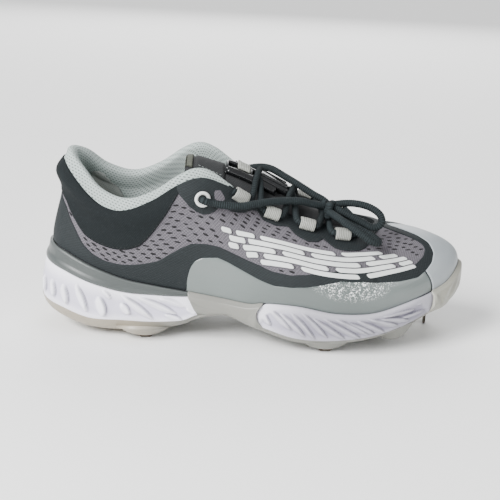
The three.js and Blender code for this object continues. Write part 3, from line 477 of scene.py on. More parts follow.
clothKeys = ("yarn", "gap", "shade", "fleck", "width", "height", "depth", "roughness", "bump")
cloths = {
    # engineered knit: mauve grey, too fine for the picture below its ribs
    "knit": ("engineered polyester knit", "#69666B", "#4F4C52", "#5A575D", "#7C797D", 2.2, 1.1, 0.35, 0.88, 0.5,
             {"sheen": 0.05}),
    # fused panels over the knit: dark, matt, the knit's relief printed through
    "panel": ("fused polyurethane overlay", "#1D2325", "#13181A", "#181D1F", "#2A3133", 2.6, 0.9, 0.22, 0.72, 0.5,
              {"speck": 0.2, "specular": 0.3}),
    "collar": ("brushed collar knit", "#1A1F21", "#101415", "#161A1C", "#262B2D", 1.3, 1.0, 0.2, 0.9, 0.45, {}),
    # pale mint grey with open holes
    "lining": ("spacer mesh lining", "#A9B3B0", "#2E3735", "#9CA6A3", "#B8C1BE", 2.7, 1.9, 0.4, 0.9, 0.5,
               {"weave": "holes", "gapLow": 0.25, "gapHigh": 0.8, "drift": 0.5}),
    "heelPad": ("heel pad knit", "#A2A6A2", "#636865", "#939894", "#B3B7B3", 1.7, 1.3, 0.35, 0.92, 0.6,
                {"weave": "holes"}),
    "tongue": ("tongue microfibre", "#353637", "#232425", "#2C2D2E", "#444546", 1.2, 0.9, 0.15, 0.8, 0.4, {}),
    "olive": ("olive binding tape", "#5E6058", "#3F413A", "#50524A", "#73756B", 0.9, 1.6, 0.3, 0.85, 0.6, {}),
    "loop": ("woven polyester tape", "#A2A39E", "#6E7069", "#95978F", "#C8C9C5", 1.25, 1.15, 0.35, 0.8, 0.7,
             {"weave": "ribs"}),
    "lace": ("braided polyester cord", "#22292B", "#0D1112", "#1A2022", "#30393B", 1.45, 1.3, 0.35, 0.8, 0.7,
             {"weave": "ribs"}),
    "insole": ("insole top cloth", "#C3C8C6", "#8F9694", "#B4BAB8", "#D2D6D4", 1.4, 1.0, 0.25, 0.92, 0.5, {}),
}
skinKeys = ("colour", "shade", "edge", "roughness", "grain", "depth")
mouldings = {
    "toeFilm": ("satin toe film", "#999FA2", "#8D9498", "#AFB4B6", 0.42, 0.7, 0.06,
                {"coat": 0.25, "coatRoughness": 0.3, "mottleScale": 25.0}),
    # matt off white with a lavender cast; painted shade darkens its hollows, the sunk ground between its leaves, a line
    # along each leaf's sharp edge and the forefoot
    "foam": ("moulded midsole foam", "#F5F4FC", "#EDECF6", "#FAF9FE", 0.6, 0.8, 0.08,
             {"mottleScale": 30.0, "wear": 0.5, "dirt": 0.6, "soil": "#A5A3AE", "fore": "#8C8A93", "foreShare": 0.8,
              "foreRange": (-0.02, 0.045), "ground": "#D8D6DF", "groove": "#7D7B86"}),
    "rand": ("moulded heel rand", "#454A49", "#3E4342", "#737977", 0.42, 0.6, 0.06, {"coat": 0.1, "mottleScale": 35.0}),
    # sand grey under the heel and cooler from the shank on
    "plate": ("injection moulded plate", "#A09889", "#928A7C", "#B5AEA1", 0.4, 0.7, 0.08,
              {"mottleScale": 40.0, "fore": "#7B7B75", "foreShare": 1.0, "foreRange": (-0.09, -0.045)}),
    "plateToe": ("injection moulded toe rand", "#959489", "#88877F", "#B2B1AA", 0.38, 0.7, 0.08, {"mottleScale": 40.0}),
    "steel": ("hardened steel, worn", "#6A635C", "#453D36", "#9A9690", 0.38, 0.4, 0.05,
              {"metallic": 1.0, "mottleScale": 160.0, "wear": 0.7}),
    "guide": ("glossy moulded guide", "#0B0C0D", "#08090A", "#1E2022", 0.22, 0.5, 0.03, {"coat": 0.3}),
    "ring": ("moulded eyelet ring", "#D0D2CF", "#C3C6C3", "#E2E3E1", 0.4, 0.4, 0.03, {}),
    "print": ("white film print", "#D6D9D7", "#CACECC", "#E4E6E5", 0.5, 1.1, 0.1, {"bump": 0.35, "mottleScale": 30.0}),
    "printGrey": ("grey film print", "#49484D", "#403E43", "#5F5D63", 0.55, 1.1, 0.1, {"mottleScale": 50.0}),
    "thread": ("polyester thread", "#757C7A", "#656C6A", "#949A98", 0.6, 0.3, 0.05, {}),
    # partly the thread's own dark colour, partly painted shade of the seam's groove
    "darkThread": ("dark polyester thread", "#0B0E0F", "#080A0B", "#161A1C", 0.8, 0.3, 0.05, {}),
    # near black: painted shade inside the knit's open slits and the eyelets' holes
    "slit": ("open knit slit", "#0F0F11", "#171618", "#232225", 0.95, 0.5, 0.1, {"wear": 0.1}),
}
finishes = {}
for table, keys, makeFinish in ((cloths, clothKeys, wovenFinish), (mouldings, skinKeys, mouldedFinish)):
    for key, (name, *values, extras) in table.items():
        finishes[key] = makeFinish(name, {**dict(zip(keys, values)), **extras})

# side film: glossy, with the lines of the knit under it, a creased patch at the ball with painted glints, and painted
# shade in the middle of the side
# its places are lengths round the side and heights up the wall in millimetres
film = {"colour": "#6B7371", "shade": "#626A68", "paintedGlint": "#F0F3F2", "paintedShade": "#535B59", "dimming": 0.8,
        "darkens": (130, 185), "clears": (215, 255), "creaseFrom": (188, 8), "creaseTo": (258, 33)}
finishes["film"], tree, shader = startFinish("glossy side film", {
    "Roughness": 0.3, "IOR": 1.5, "Coat Weight": 0.5, "Coat Roughness": 0.12})
uv = addNode(tree, "UVMap", uv_map="pattern")
split = addNode(tree, "SeparateXYZ", [uv])
place = addNode(tree, "TexCoord").outputs["Object"]
mottle = addNode(tree, "TexNoise", {"Vector": place, "Scale": 40.0, "Detail": 4.0})
# painted shade: the film is darker in the middle of the side
front = addNode(tree, "MapRange", [split, *film["darkens"], 0, film["dimming"]], interpolation_type="SMOOTHSTEP")
rear = addNode(tree, "MapRange", [split, *film["clears"], 1, 0], interpolation_type="SMOOTHSTEP")
paintedShadeShare = addNode(tree, "Math", [front, rear], operation="MULTIPLY")
# squared distance from the middle of the creased patch, 1 at its edge
squares = []
for axis, (low, high) in enumerate(zip(film["creaseFrom"], film["creaseTo"])):
    centred = addNode(tree, "MapRange", [split.outputs[axis], low, high, -1, 1], clamp=False)
    squares.append(addNode(tree, "Math", [centred, 2], operation="POWER"))
away = addNode(tree, "Math", squares, operation="ADD")
patch = addNode(tree, "MapRange", [away, 0.2, 1, 1, 0], interpolation_type="SMOOTHSTEP")
crease = addNode(tree, "TexNoise", {"Vector": place, "Scale": 560.0, "Detail": 3.0, "Roughness": 0.65,
                                    "Distortion": 1.6})
# painted highlight: near-white glint flecks over the creased patch
fleck = addNode(tree, "MapRange", [crease, 0.55, 0.59])
paintedGlintShare = addNode(tree, "Math", [fleck, patch], operation="MULTIPLY")
body = layered(tree, film["colour"], [(mottle, film["shade"], "MIX"), (paintedShadeShare, film["paintedShade"], "MIX"),
                                      (paintedGlintShare, film["paintedGlint"], "MIX")])
ribs = addNode(tree, "TexWave", {"Vector": uv, "Scale": 0.16, "Distortion": 1.2, "Detail": 2.0}, bands_direction="Y")
creased = addNode(tree, "Math", [crease, patch], operation="MULTIPLY")
relief = addNode(tree, "Math", [ribs.outputs["Fac"], 0.12, creased], operation="MULTIPLY_ADD")
bump = addNode(tree, "Bump", {"Height": relief, "Strength": 0.35, "Distance": 0.0005})
setInputs(tree, shader, {"Base Color": body, "Normal": bump, "Coat Normal": bump})
print("finishes ready")

# camera at the photograph's place, rolled as the picture is
view = {"azimuth": -1.2, "elevation": 17.4, "roll": 3.0, "distance": 0.7, "target": (0.001994, 0.0000045, 0.055),
        "lens": 70.56, "shiftX": -0.0116, "shiftY": 0.0033}
a, e, r = (math.radians(view[n]) for n in ("azimuth", "elevation", "roll"))
back = Vector((math.sin(a) * math.cos(e), -math.cos(a) * math.cos(e), math.sin(e)))
right = Vector((math.cos(a), math.sin(a), 0))
up = back.cross(right)
rolledRight = right * math.cos(r) + up * math.sin(r)
rolledUp = up * math.cos(r) - right * math.sin(r)
place = Matrix((rolledRight, rolledUp, back)).transposed().to_4x4()
place.translation = Vector(view["target"]) + back * view["distance"]
cameraData = bpy.data.cameras.new("photoCamera")
cameraData.lens = view["lens"]
cameraData.sensor_width = 36
cameraData.shift_x = view["shiftX"]
cameraData.shift_y = view["shiftY"]
cameraData.clip_start = 0.05
camera = addObject("photoCamera", cameraData)
camera.matrix_world = place
bpy.context.scene.camera = camera
print("camera set")


# node groups that turn a line or loose points into a mesh
def startTree(name, source, sizes):
    tree = bpy.data.node_groups.new(name, "GeometryNodeTree")
    sockets = [(source, "INPUT", "Geometry")] + [(label, "INPUT", "Float") for label in sizes]
    for label, way, kind in sockets + [("Finish", "INPUT", "Material"), ("Geometry", "OUTPUT", "Geometry")]:
        socket = tree.interface.new_socket(label, in_out=way, socket_type="NodeSocket" + kind)
        if label in sizes:
            socket.default_value = sizes[label]
    return tree, addNode(tree, "NodeGroupInput")


def endTree(tree, group, shape):
    real = addNode(tree, "GeometryNodeRealizeInstances", [shape])
    finished = addNode(tree, "GeometryNodeSetMaterial", {"Geometry": real, "Material": group.outputs["Finish"]})
    addNode(tree, "NodeGroupOutput", [finished])
    return tree


def cordTree():
    # a round section swept along a line, with the braid's ribs as a swelling radius
    tree, group = startTree("ribbedCord", "Line", {"Radius": 0.0025, "Rib Pitch": 0.0014, "Rib Height": 0.05})
    pitch = group.outputs["Rib Pitch"]
    line = addNode(tree, "GeometryNodeMeshToCurve", [group])
    quarter = addNode(tree, "Math", [pitch, 4.0], operation="DIVIDE")
    spaced = addNode(tree, "GeometryNodeResampleCurve", {"Curve": line, "Length": quarter}, mode="LENGTH")
    along = addNode(tree, "GeometryNodeSplineParameter").outputs["Length"]
    ribs = addNode(tree, "Math", [along, pitch], operation="DIVIDE")
    angle = addNode(tree, "Math", [ribs, 2 * math.pi], operation="MULTIPLY")
    wave = addNode(tree, "Math", [angle], operation="SINE")
    swell = addNode(tree, "Math", [wave, group.outputs["Rib Height"], 1.0], operation="MULTIPLY_ADD")
    radius = addNode(tree, "Math", [swell, group.outputs["Radius"]], operation="MULTIPLY")
    section = addNode(tree, "GeometryNodeCurvePrimitiveCircle", {"Resolution": 18, "Radius": 1.0})
    turn = addNode(tree, "GeometryNodeSplineParameter").outputs["Factor"]
    noted = [addNode(tree, "GeometryNodeStoreNamedAttribute", {"Geometry": shape, "Name": key, "Value": value},
                     data_type="FLOAT", domain="POINT")
             for shape, key, value in ((spaced, "along", along), (section, "round", turn))]
    swept = addNode(tree, "GeometryNodeCurveToMesh", {"Curve": noted[0], "Profile Curve": noted[1], "Scale": radius,
                                                      "Fill Caps": True})
    return endTree(tree, group, addNode(tree, "GeometryNodeSetShadeSmooth", [swept]))


def markTree(name, segments, rings):
    # one small stretched ball at each point, for slits and stitches
    tree, group = startTree(name, "Points", {"Length": 0.003, "Width": 0.001, "Height": 0.0004})
    points = addNode(tree, "GeometryNodeMeshToPoints", [group])
    mark = addNode(tree, "GeometryNodeMeshUVSphere", {"Segments": segments, "Rings": rings, "Radius": 0.5})
    size = addNode(tree, "CombineXYZ", [group.outputs[label] for label in ("Length", "Width", "Height")])
    scaled = addNode(tree, "GeometryNodeTransform", {"Geometry": mark, "Scale": size})
    smooth = addNode(tree, "GeometryNodeSetShadeSmooth", [scaled])
    turn, grow = (addNode(tree, "GeometryNodeInputNamedAttribute", {"Name": key}, data_type="FLOAT_VECTOR")
                  for key in ("turn", "grow"))
    rotation = addNode(tree, "FunctionNodeEulerToRotation", [turn])
    placed = addNode(tree, "GeometryNodeInstanceOnPoints", {"Points": points, "Instance": smooth, "Rotation": rotation,
                                                            "Scale": grow})
    return endTree(tree, group, placed)


def runTree(name, points, tree, inputs, attributes=None):
    # the tree is applied to a line, or to loose points with attributes, and its result is kept as a plain mesh
    mesh = bpy.data.meshes.new(name + "Line")
    edges = [] if attributes else [(n, n + 1) for n in range(len(points) - 1)]
    mesh.from_pydata([tuple(p) for p in points], edges, [])
    for key, values in (attributes or {}).items():
        note = mesh.attributes.new(key, "FLOAT_VECTOR", "POINT")
        note.data.foreach_set("vector", np.asarray(values, np.float32).reshape(-1))
    carrier = addObject(name + "Line", mesh)
    modifier = carrier.modifiers.new(name, "NODES")
    modifier.node_group = tree
    for item in tree.interface.items_tree:
        if item.item_type == "SOCKET" and item.in_out == "INPUT" and item.name in inputs:
            modifier[item.identifier] = inputs[item.name]
    bpy.context.view_layer.update()
    plain = bpy.data.meshes.new_from_object(carrier.evaluated_get(bpy.context.evaluated_depsgraph_get()))
    carrier.modifiers.remove(modifier)
    bpy.data.objects.remove(carrier)
    plain.name = name
    piece = addObject(name, plain)
    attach(piece, "root")
    return piece


def splineThrough(points, step):
    # centripetal cubic through the points, in even steps of about the given length in millimetres
    p = np.asarray(points, float)
    p = np.concatenate([[2 * p[0] - p[1]], p, [2 * p[-1] - p[-2]]])
    t = np.concatenate([[0], np.cumsum(np.linalg.norm(np.diff(p, axis=0), axis=1) ** 0.5)])

    def blended(one, other, low, high):
        return (t[high] - s) / (t[high] - t[low]) * one + (s - t[low]) / (t[high] - t[low]) * other

    dense = []
    for i in range(1, len(p) - 2):
        s = np.linspace(t[i], t[i + 1], 24, endpoint=False)[:, None]
        a, b, c = (blended(p[n], p[n + 1], n, n + 1) for n in (i - 1, i, i + 1))
        dense.append(blended(blended(a, b, i - 1, i + 1), blended(b, c, i, i + 2), i, i + 1))
    dense = np.concatenate(dense + [p[-2:-1]])
    length = runLength(dense)
    even = np.linspace(0, length[-1], max(8, int(round(length[-1] / step))) + 1)
    return np.stack([np.interp(even, length, dense[:, c]) for c in range(3)], 1), length[-1]


def cordPattern(mesh, diameter):
    # the pattern map of a cord: millimetres along it and round it
    corner = np.zeros(len(mesh.loops), np.int32)
    mesh.loops.foreach_get("vertex_index", corner)
    uv = []
    for key in ("along", "round"):
        values = np.zeros(len(mesh.vertices), np.float32)
        mesh.attributes[key].data.foreach_get("value", values)
        uv.append(values[corner])
    full = math.pi * diameter
    u, v = uv[0] * 1000, uv[1] * full
    for face in mesh.polygons:
        # a face that closes the section runs on past the full turn
        spot = slice(face.loop_start, face.loop_start + face.loop_total)
        if face.loop_total == 4 and np.ptp(v[spot]) > full / 2:
            v[spot] += np.where(v[spot] < full / 2, full, 0)
    layer = mesh.uv_layers.get("pattern") or mesh.uv_layers.new(name="pattern")
    layer.data.foreach_set("uv", np.stack([u, v], 1).reshape(-1).astype(np.float32))


# the tied lace, in the same places as its solids
lace = {"diameter": 5.0, "rowDiameter": 4.4, "ribPitch": 1.45, "ribHeight": 0.055}
eyeletAxis = {"lateral": ((112.09, -34.06, 100.44), (0.140, -0.984, 0.113)),
              "medial": ((111.99, 33.37, 106.60), (0.126, 0.992, 0.026))}
ribbed = cordTree()


def fromEyelet(name, lift):
    base, axis = eyeletAxis[name]
    return [b + a * lift for a, b in zip(axis, base)]


def lacePiece(name, points, diameter):
    piece = runTree(name, inFrame(points), ribbed, {
        "Radius": diameter / 2000, "Rib Pitch": lace["ribPitch"] / 1000, "Rib Height": lace["ribHeight"],
        "Finish": finishes["lace"]})
    cordPattern(piece.data, diameter)
    return piece


laceRuns = {
    # node, far end and the line; the first and last point run on into the eyelets and the knot
    "laceStrandLateral": ("lace_strand_lateral", "knot", [
        fromEyelet("lateral", -0.6), fromEyelet("lateral", 5.2), (118, -37.6, 99.2), (127, -37.6, 98),
        (138, -35.4, 97.4), (148, -31.4, 98.4), (159, -25.4, 99), (179, -17, 98), (187.5, -13.2, 95.4),
        (194, -10.5, 93.9), (198, -9, 92.8)]),
    "laceStrandMedial": ("lace_strand_medial", "knot", [
        fromEyelet("medial", -0.6), fromEyelet("medial", 4.2), (119, 37.4, 106), (129, 37.6, 105.6), (139, 36.2, 107),
        (149, 31, 110), (158, 18, 112), (168, 7, 109.2), (180, -0.4, 104), (188, -3.9, 100), (194.8, -6.2, 97),
        (198.5, -7.6, 94.2)]),
    "laceBowOpen": ("lace_bow_open", "object", [
        (200.2, -7.6, 93.6), (205, -7.4, 94.9), (216.5, -11.6, 96.8), (226.6, -16, 95.6), (233.6, -20, 91.4),
        (234.6, -22, 86.8), (230, -22, 83), (220, -18, 86), (206.8, -12.6, 91.4), (200.5, -9.6, 92.6)]),
    "laceBowNarrow": ("lace_bow_narrow", "object", [
        (199.4, -9.4, 90.6), (202.6, -13.1, 87.5), (211, -19.6, 84.9), (221.2, -26.4, 81.6), (229, -31.4, 78.6),
        (231.6, -35.6, 76.5), (227.6, -37.6, 77.2), (218, -34.6, 82.6), (206, -26.4, 88.8), (198.4, -14, 91.2),
        (197.6, -8.6, 92.6)]),
}
for name, (node, far, points) in laceRuns.items():
    line, length = splineThrough(points, 1.0)
    piece = lacePiece(name, line, lace["diameter"])
    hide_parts(node)

# the knot: a trefoil of the same cord, the overhand knot's own line
knot = {"centre": (198.6, -10.2, 91.2), "size": (4.6, 4.2, 5.2), "cord": 5.2}
turns = []
for t in np.linspace(0, 2 * math.pi, 49)[:-1]:
    shares = ((math.sin(t) + 0.75 * math.sin(2 * t)) * 0.62, (math.cos(t) - 0.75 * math.cos(2 * t)) * 0.62,
              -math.sin(3 * t) * 0.78)
    turns.append([middle + size * share for middle, size, share in zip(knot["centre"], knot["size"], shares)])
knotLine, _ = splineThrough(turns + turns[:1], 0.7)
knotPiece = lacePiece("laceKnot", knotLine, knot["cord"])
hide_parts("lace_knot")
print("tied lace ready")

# upper: one hollow shell, knit outside, lining over the collar's rim and inside
shell = {"rows": 84, "innerRows": 30, "rimRows": 9, "throatFrom": 18.6, "rimRise": 0.8}
knitSkin, liningSkin, panelSkin = 0, 1, 2
kRing = np.arange(0, loopSteps, 1 / fine)
bandLow = alongSide([
    (0, 0.925), (1.5, 0.915), (2.7, 0.893), (4.3, 0.881), (5.7, 0.876), (6.5, 0.862), (7.5, 0.872), (8.3, 0.9),
    (9.3, 0.925), (10.7, 0.94), (12.3, 0.945), (14, 0.95), (16.7, 0.955), (18, 0.975), (19, 1.0), (36, 1.0),
])
vOuter = np.linspace(0, 1, shell["rows"] + 1)
outer = upperAt(kRing[None, :], vOuter[:, None])
tucks = np.stack([tuckAt(kRing, 1.0), tuckAt(kRing, foamTuck(kRing))])
angles = np.linspace(0, math.pi, shell["rimRows"] + 2)[1:-1, None]
rimHalf = wallThickness(kRing, 1.0) / 2
rimOut = upperOut(kRing, 1.0)
rimMiddle = upperAt(kRing, 1.0) - rimOut * rimHalf[:, None]
rim = rimMiddle[None] + rimOut[None] * (np.cos(angles) * rimHalf)[..., None]
rim[..., 2] += np.sin(angles) * rimHalf[None] * shell["rimRise"]
vInner = np.linspace(1, 0, shell["innerRows"] + 1)[:-1, None]
inner = onUpper(kRing[None, :], vInner, -wallThickness(kRing[None, :], vInner))
innerTucks = np.stack([tuckAt(kRing, t, -last["wall"]) for t in (0.0, 0.5, 1.0)])
section = np.concatenate([tucks, outer, rim, inner, innerTucks])
rise = runLength(section)
firstOuter = len(tucks)
firstRim = firstOuter + len(outer)
rise = rise - rise[firstOuter]
rise = np.concatenate([rise, rise[-1:] + 3], 0)
rise = np.concatenate([rise, rise[:, :1]], 1)
shellUv = np.stack([np.broadcast_to(roundAt(np.append(kRing, loopSteps))[None], rise.shape), rise], -1)
skins = np.full(section.shape[:2], knitSkin)
throat = side(kRing) >= shell["throatFrom"]
skins[firstOuter:firstRim] = np.where(vOuter[:, None] >= bandLow(kRing)[None] - 0.03, liningSkin, knitSkin)
skins[firstRim - 1:] = liningSkin
skins[firstOuter:firstRim, throat] = np.where(vOuter[:, None] > 0.93, panelSkin, knitSkin)
skins[firstRim - 1:, throat] = panelSkin
makePiece("upperShell", [gridPart(section, True, True, shellUv, skins)], "knit lining panel", ["upper"])
print("upper ready")


def panelPart(start, end, low, high, thickness, lift=0.05, rows=16, edge=0.55, step=0.16, mirror=False):
    # a panel laid on the upper between two lines, with soft rounded edges
    k = np.linspace(start, end, max(8, int(round((end - start) / step))) + 1)
    bottom, top = np.asarray(low(k), float), np.asarray(high(k), float)
    tall = np.maximum(heightAt(k, top) - heightAt(k, bottom), 0.3)
    inset = np.minimum(edge / tall, 0.22)
    middle = [inset + (1 - 2 * inset) * m for m in np.linspace(0, 1, rows + 1)[1:-1]]
    s = np.stack([0 * k, inset * 0.35, inset] + middle + [1 - inset, 1 - inset * 0.35, 0 * k + 1])
    rounding = np.array([0.25, 0.75, 1.0] + [1.0] * len(middle) + [1.0, 0.75, 0.25])
    thick = rounding[:, None] * thickness * np.ones_like(s)
    thick[:, [0, -1]] *= 0.2
    v = bottom[None] + (top - bottom)[None] * s
    length = roundAt(k)[None] + 0 * v
    kGrid = np.broadcast_to((loopSteps - k if mirror else k)[None], v.shape)
    uv = np.stack([length, heightAt(kGrid, v)], -1)
    return sheetPart(onUpper(kGrid, v, lift + thick), onUpper(kGrid, v, lift + 0 * thick), uv)


def bothSides(*values, **settings):
    return [panelPart(*values, mirror=mirror, **settings) for mirror in (False, True)]


# where the panels end, read off the photograph as (place round the side, place up the wall)
lines = {
    "overlayTop": alongSide([
        (0, 0.57), (0.8, 0.56), (3, 0.5), (4.5, 0.369), (5.3, 0.262), (6, 0.202), (6.8, 0.179), (7.7, 0.202),
        (8.8, 0.25), (10.2, 0.31), (11, 0.369), (12, 0.417), (13.2, 0.44), (14.8, 0.44), (16, 0.429), (17.3, 0.393),
        (19.8, 0.321), (20.8, 0.274), (21.8, 0.262), (22.8, 0.30), (23.5, 0.345), (25, 0.40), (27, 0.40),
    ]),
    "filmTop": alongSide([
        (12.3, 0.06), (12.4, 0.12), (12.55, 0.17), (12.8, 0.22), (13.15, 0.262), (13.65, 0.3), (14.4, 0.33),
        (15.7, 0.345), (16.5, 0.321), (17.7, 0.274), (19.5, 0.202), (20.7, 0.155), (21.7, 0.155), (22.5, 0.179),
        (23.7, 0.25), (24.7, 0.298), (26, 0.3), (28, 0.24), (29.7, 0.222), (30.7, 0.262), (31.7, 0.321),
        (32.8, 0.405), (33.8, 0.524), (34.5, 0.655), (35, 0.8), (35.4, 0.87), (36, 0.9),
    ]),
    "toeBandTop": alongSide([
        (26, 0.37), (27.3, 0.35), (28.6, 0.33), (30, 0.345), (31, 0.393), (31.8, 0.429), (32.7, 0.488),
        (33.2, 0.548), (33.5, 0.631), (33.7, 0.762), (34.0, 0.9), (34.6, 0.95), (36, 0.965),
    ]),
    "collarLow": alongSide([
        (0, 0.6), (1, 0.583), (2.8, 0.548), (4.3, 0.452), (5.3, 0.381), (6.3, 0.369), (7.3, 0.381), (8.2, 0.417),
        (9, 0.464), (9.5, 0.53), (10.5, 0.667), (11.3, 0.762), (12.2, 0.87), (12.5, 0.93),
    ]),
    "eyestayLow": alongSide([
        (12.0, 0.93), (12.25, 0.86), (12.8, 0.79), (13.3, 0.738), (14.1, 0.69), (14.8, 0.667), (15.5, 0.68),
        (16, 0.702), (16.8, 0.762), (17.8, 0.75), (19.0, 0.765), (19.8, 0.79), (20.6, 0.85), (21.1, 0.872),
        (21.4, 0.78), (22.3, 0.762), (23.0, 0.79), (23.3, 0.80), (23.55, 0.714), (24.2, 0.667), (25, 0.69),
        (25.6, 0.745), (25.9, 0.643), (26.5, 0.619), (27.5, 0.619), (28.3, 0.655), (28.8, 0.69), (29.6, 0.72),
        (30.4, 0.8), (31.4, 0.87), (33, 0.92), (36, 0.94),
    ]),
    "windowLow": alongSide([
        (16.15, 0.81), (16.3, 0.793), (17.0, 0.81), (17.25, 0.828),
    ]),
    "windowHigh": alongSide([
        (16.15, 0.85), (16.3, 0.872), (16.9, 0.892), (17.25, 0.85),
    ]),
    "padTop": alongSide([
        (4.3, 0.75), (4.6, 0.84), (4.95, 0.9), (5.3, 0.928), (5.7, 0.925), (6.2, 0.876), (6.7, 0.76), (7.1, 0.68),
        (7.35, 0.6), (7.45, 0.5),
    ]),
    "graphicTop": alongSide([
        (15.4, 0.52), (15.6, 0.6), (18, 0.615), (21.5, 0.615), (27.2, 0.6), (29.6, 0.6), (30.9, 0.57),
    ]),
    "graphicLow": alongSide([
        (15.4, 0.55), (16.2, 0.55), (16.3, 0.44), (18.0, 0.43), (18.1, 0.385), (19.7, 0.38), (19.8, 0.325),
        (24.4, 0.325), (24.5, 0.27), (30.0, 0.27), (30.6, 0.33), (30.9, 0.5),
    ]),
}
panels = {"thickness": 0.55, "collar": 0.9, "film": 0.45, "toe": 0.5, "stay": 0.6, "foot": 0.004, "under": 0.035}
suffixes = ("Lateral", "Medial")


def footLine(k):
    return 0 * k + panels["foot"]


def counterLow(k):
    underFilm = np.maximum(panels["foot"], lines["filmTop"](k) - panels["under"])
    return np.where(side(k) < 12.2, panels["foot"], underFilm)


def collarHigh(k):
    return np.maximum(bandLow(k) + 0.002, lines["collarLow"](k) + 0.01)


def bandFoot(k):
    return np.maximum(0.1, lines["filmTop"](k) - panels["under"])


def stayTop(k):
    return np.where(side(k) < 18, bandLow(k) + 0.002, 0.992)


makePiece("counterOverlay", [panelPart(-27.0, 27.0, counterLow, lines["overlayTop"], panels["thickness"], rows=14)],
          "panel", ["heel_counter"])
makePiece("collarPanel", [panelPart(-12.6, 12.6, lines["collarLow"], collarHigh, panels["collar"], rows=22)],
          "collar", ["collar_panel"])
films = bothSides(12.32, 30.59, footLine, lines["filmTop"], panels["film"], lift=0.45, rows=14)
for suffix, part in zip(suffixes, films):
    makePiece("sideFilm" + suffix, [part], "film", ["side_film_" + suffix.lower()])
makePiece("toeBand", [panelPart(26.2, 45.8, bandFoot, lines["toeBandTop"], panels["thickness"], rows=10)],
          "panel")
makePiece("toeFilm", [panelPart(30.62, 41.38, footLine, lines["filmTop"], panels["toe"], lift=0.5, rows=26, step=0.1)],
          "toeFilm", ["toe_cap"])
stays = bothSides(12.0, 36.0, lines["eyestayLow"], stayTop, panels["stay"], lift=0.5, rows=12, step=0.1)
for suffix, part in zip(suffixes, stays):
    makePiece("eyestay" + suffix, [part], "panel", ["eyestay_" + suffix.lower()])
windows = bothSides(16.15, 17.25, lines["windowLow"], lines["windowHigh"], 0.12, lift=1.08, rows=6, edge=0.3, step=0.06)
makePiece("knitWindows", windows, "knit")

# sewn grip pads inside the heel, one on each side
pad = {"from": 4.3, "to": 7.45, "low": 0.3, "thickness": 0.8}


def padPart(mirror):
    k = np.linspace(pad["from"], pad["to"], 64)
    top = lines["padTop"](k)[None]
    v = pad["low"] + (top - pad["low"]) * np.linspace(0, 1, 23)[:, None]
    nearEdge = np.minimum(np.minimum(k - pad["from"], pad["to"] - k)[None] * 6, (top - v) * 40)
    thick = pad["thickness"] * (0.15 + 0.85 * np.sqrt(np.clip(nearEdge, 0, 1)))
    kGrid = np.broadcast_to(loopSteps - k if mirror else k, v.shape)
    wall = wallThickness(kGrid, v)
    uv = np.stack([roundAt(k) + 0 * v, heightAt(kGrid, v)], -1)
    return sheetPart(onUpper(kGrid, v, -wall - 0.1 - thick), onUpper(kGrid, v, -wall + 0.3), uv)


makePiece("heelGripPads", [padPart(False), padPart(True)], "heelPad")
print("panels ready")

# side graphic: staggered lengthwise bars that break into dashes, white on a grey edge
bars = {"grow": 0.0065, "wallHigh": 96.0, "stepLong": 10.5, "rows": [
    (0.577, 0.042, [(16.4, 17.4), (17.8, 20.2), (20.6, 25.6), (26.0, 29.1)]),
    (0.521, 0.045, [(17.0, 18.8), (19.2, 23.4), (23.8, 28.0), (28.4, 30.0)]),
    (0.464, 0.045, [(16.8, 17.8), (18.2, 21.4), (21.8, 26.6), (27.0, 30.4)]),
    (0.407, 0.045, [(18.4, 20.0), (20.4, 24.4), (24.8, 28.8), (29.2, 30.45)]),
    (0.350, 0.045, [(20.0, 22.2), (22.6, 26.0), (26.4, 30.3)]),
]}


def barPart(v, tall, start, end, grow, lift, thickness, mirror):
    # a bar with round ends: its height follows a half circle at each end
    radius = tall / 2
    k = np.linspace(start, end, max(10, int((end - start) / 0.12)) + 1)
    roundEnd = radius * bars["wallHigh"] / bars["stepLong"]
    reach = np.minimum(np.minimum(k - start, end - k), roundEnd) / roundEnd
    half = radius * np.sqrt(np.maximum(0.04, 1 - (1 - reach) ** 2))
    return panelPart(start - grow * 8, end + grow * 8, lambda q: v - np.interp(q, k, half) - grow,
                     lambda q: v + np.interp(q, k, half) + grow, thickness, lift=lift, rows=4, edge=0.3, step=0.12,
                     mirror=mirror)


layers = [("sideBars", 0.0, 0.5, 0.22, "print", "ring"), ("sideBarEdges", bars["grow"], 0.3, 0.2, "printGrey", "mesh")]
for suffix, mirror in zip(suffixes, (False, True)):
    for name, grow, lift, thickness, finish, slot in layers:
        parts = [barPart(v, tall, start, end, grow, lift, thickness, mirror)
                 for v, tall, runs in bars["rows"] for start, end in runs]
        makePiece(name + suffix, parts, finish)
print("side graphic ready")

# sole
sole = {"foamRows": 44, "gap": 0.6, "wall": 2.2, "endSwell": 1.6, "wave": 0.4, "lipShare": 0.04, "crown": 2.4}
shareCurve = np.polyfit([0, 0.3, 0.65, 1], [0.78, 1, 0.86, 0.5], 3)


def leanAt(k, h):
    # the foam's ends slant where shank and toe wall meet them: how far the seam moves along the shoe at height h
    q = side(k)
    h = np.clip(h, 0, 1)
    move = (2.0 - 3.45 * h ** 1.2) * bump4(q, 8.5, 12, 14, 17) + 1.7 * h ** 3 * bump4(q, 16, 18, 20, 23)
    move = move + (0.2 - 1.6 * h) * bump4(q, 27.5, 30, 32, 35.8)
    return np.where(np.mod(k, loopSteps) <= toeTip, move, -move)


def foamOut(k, h):
    share = coverShare(k - leanAt(k, h))
    return last["fit"] + last["lip"] + (np.polyval(shareCurve, h) * flare(k) - last["fit"]) * share


def foamAt(k, h, extra=0.0):
    return besideBite(k, foamOut(k, h) + extra, foamLow(k) + (foamTop(k) - foamLow(k)) * h)
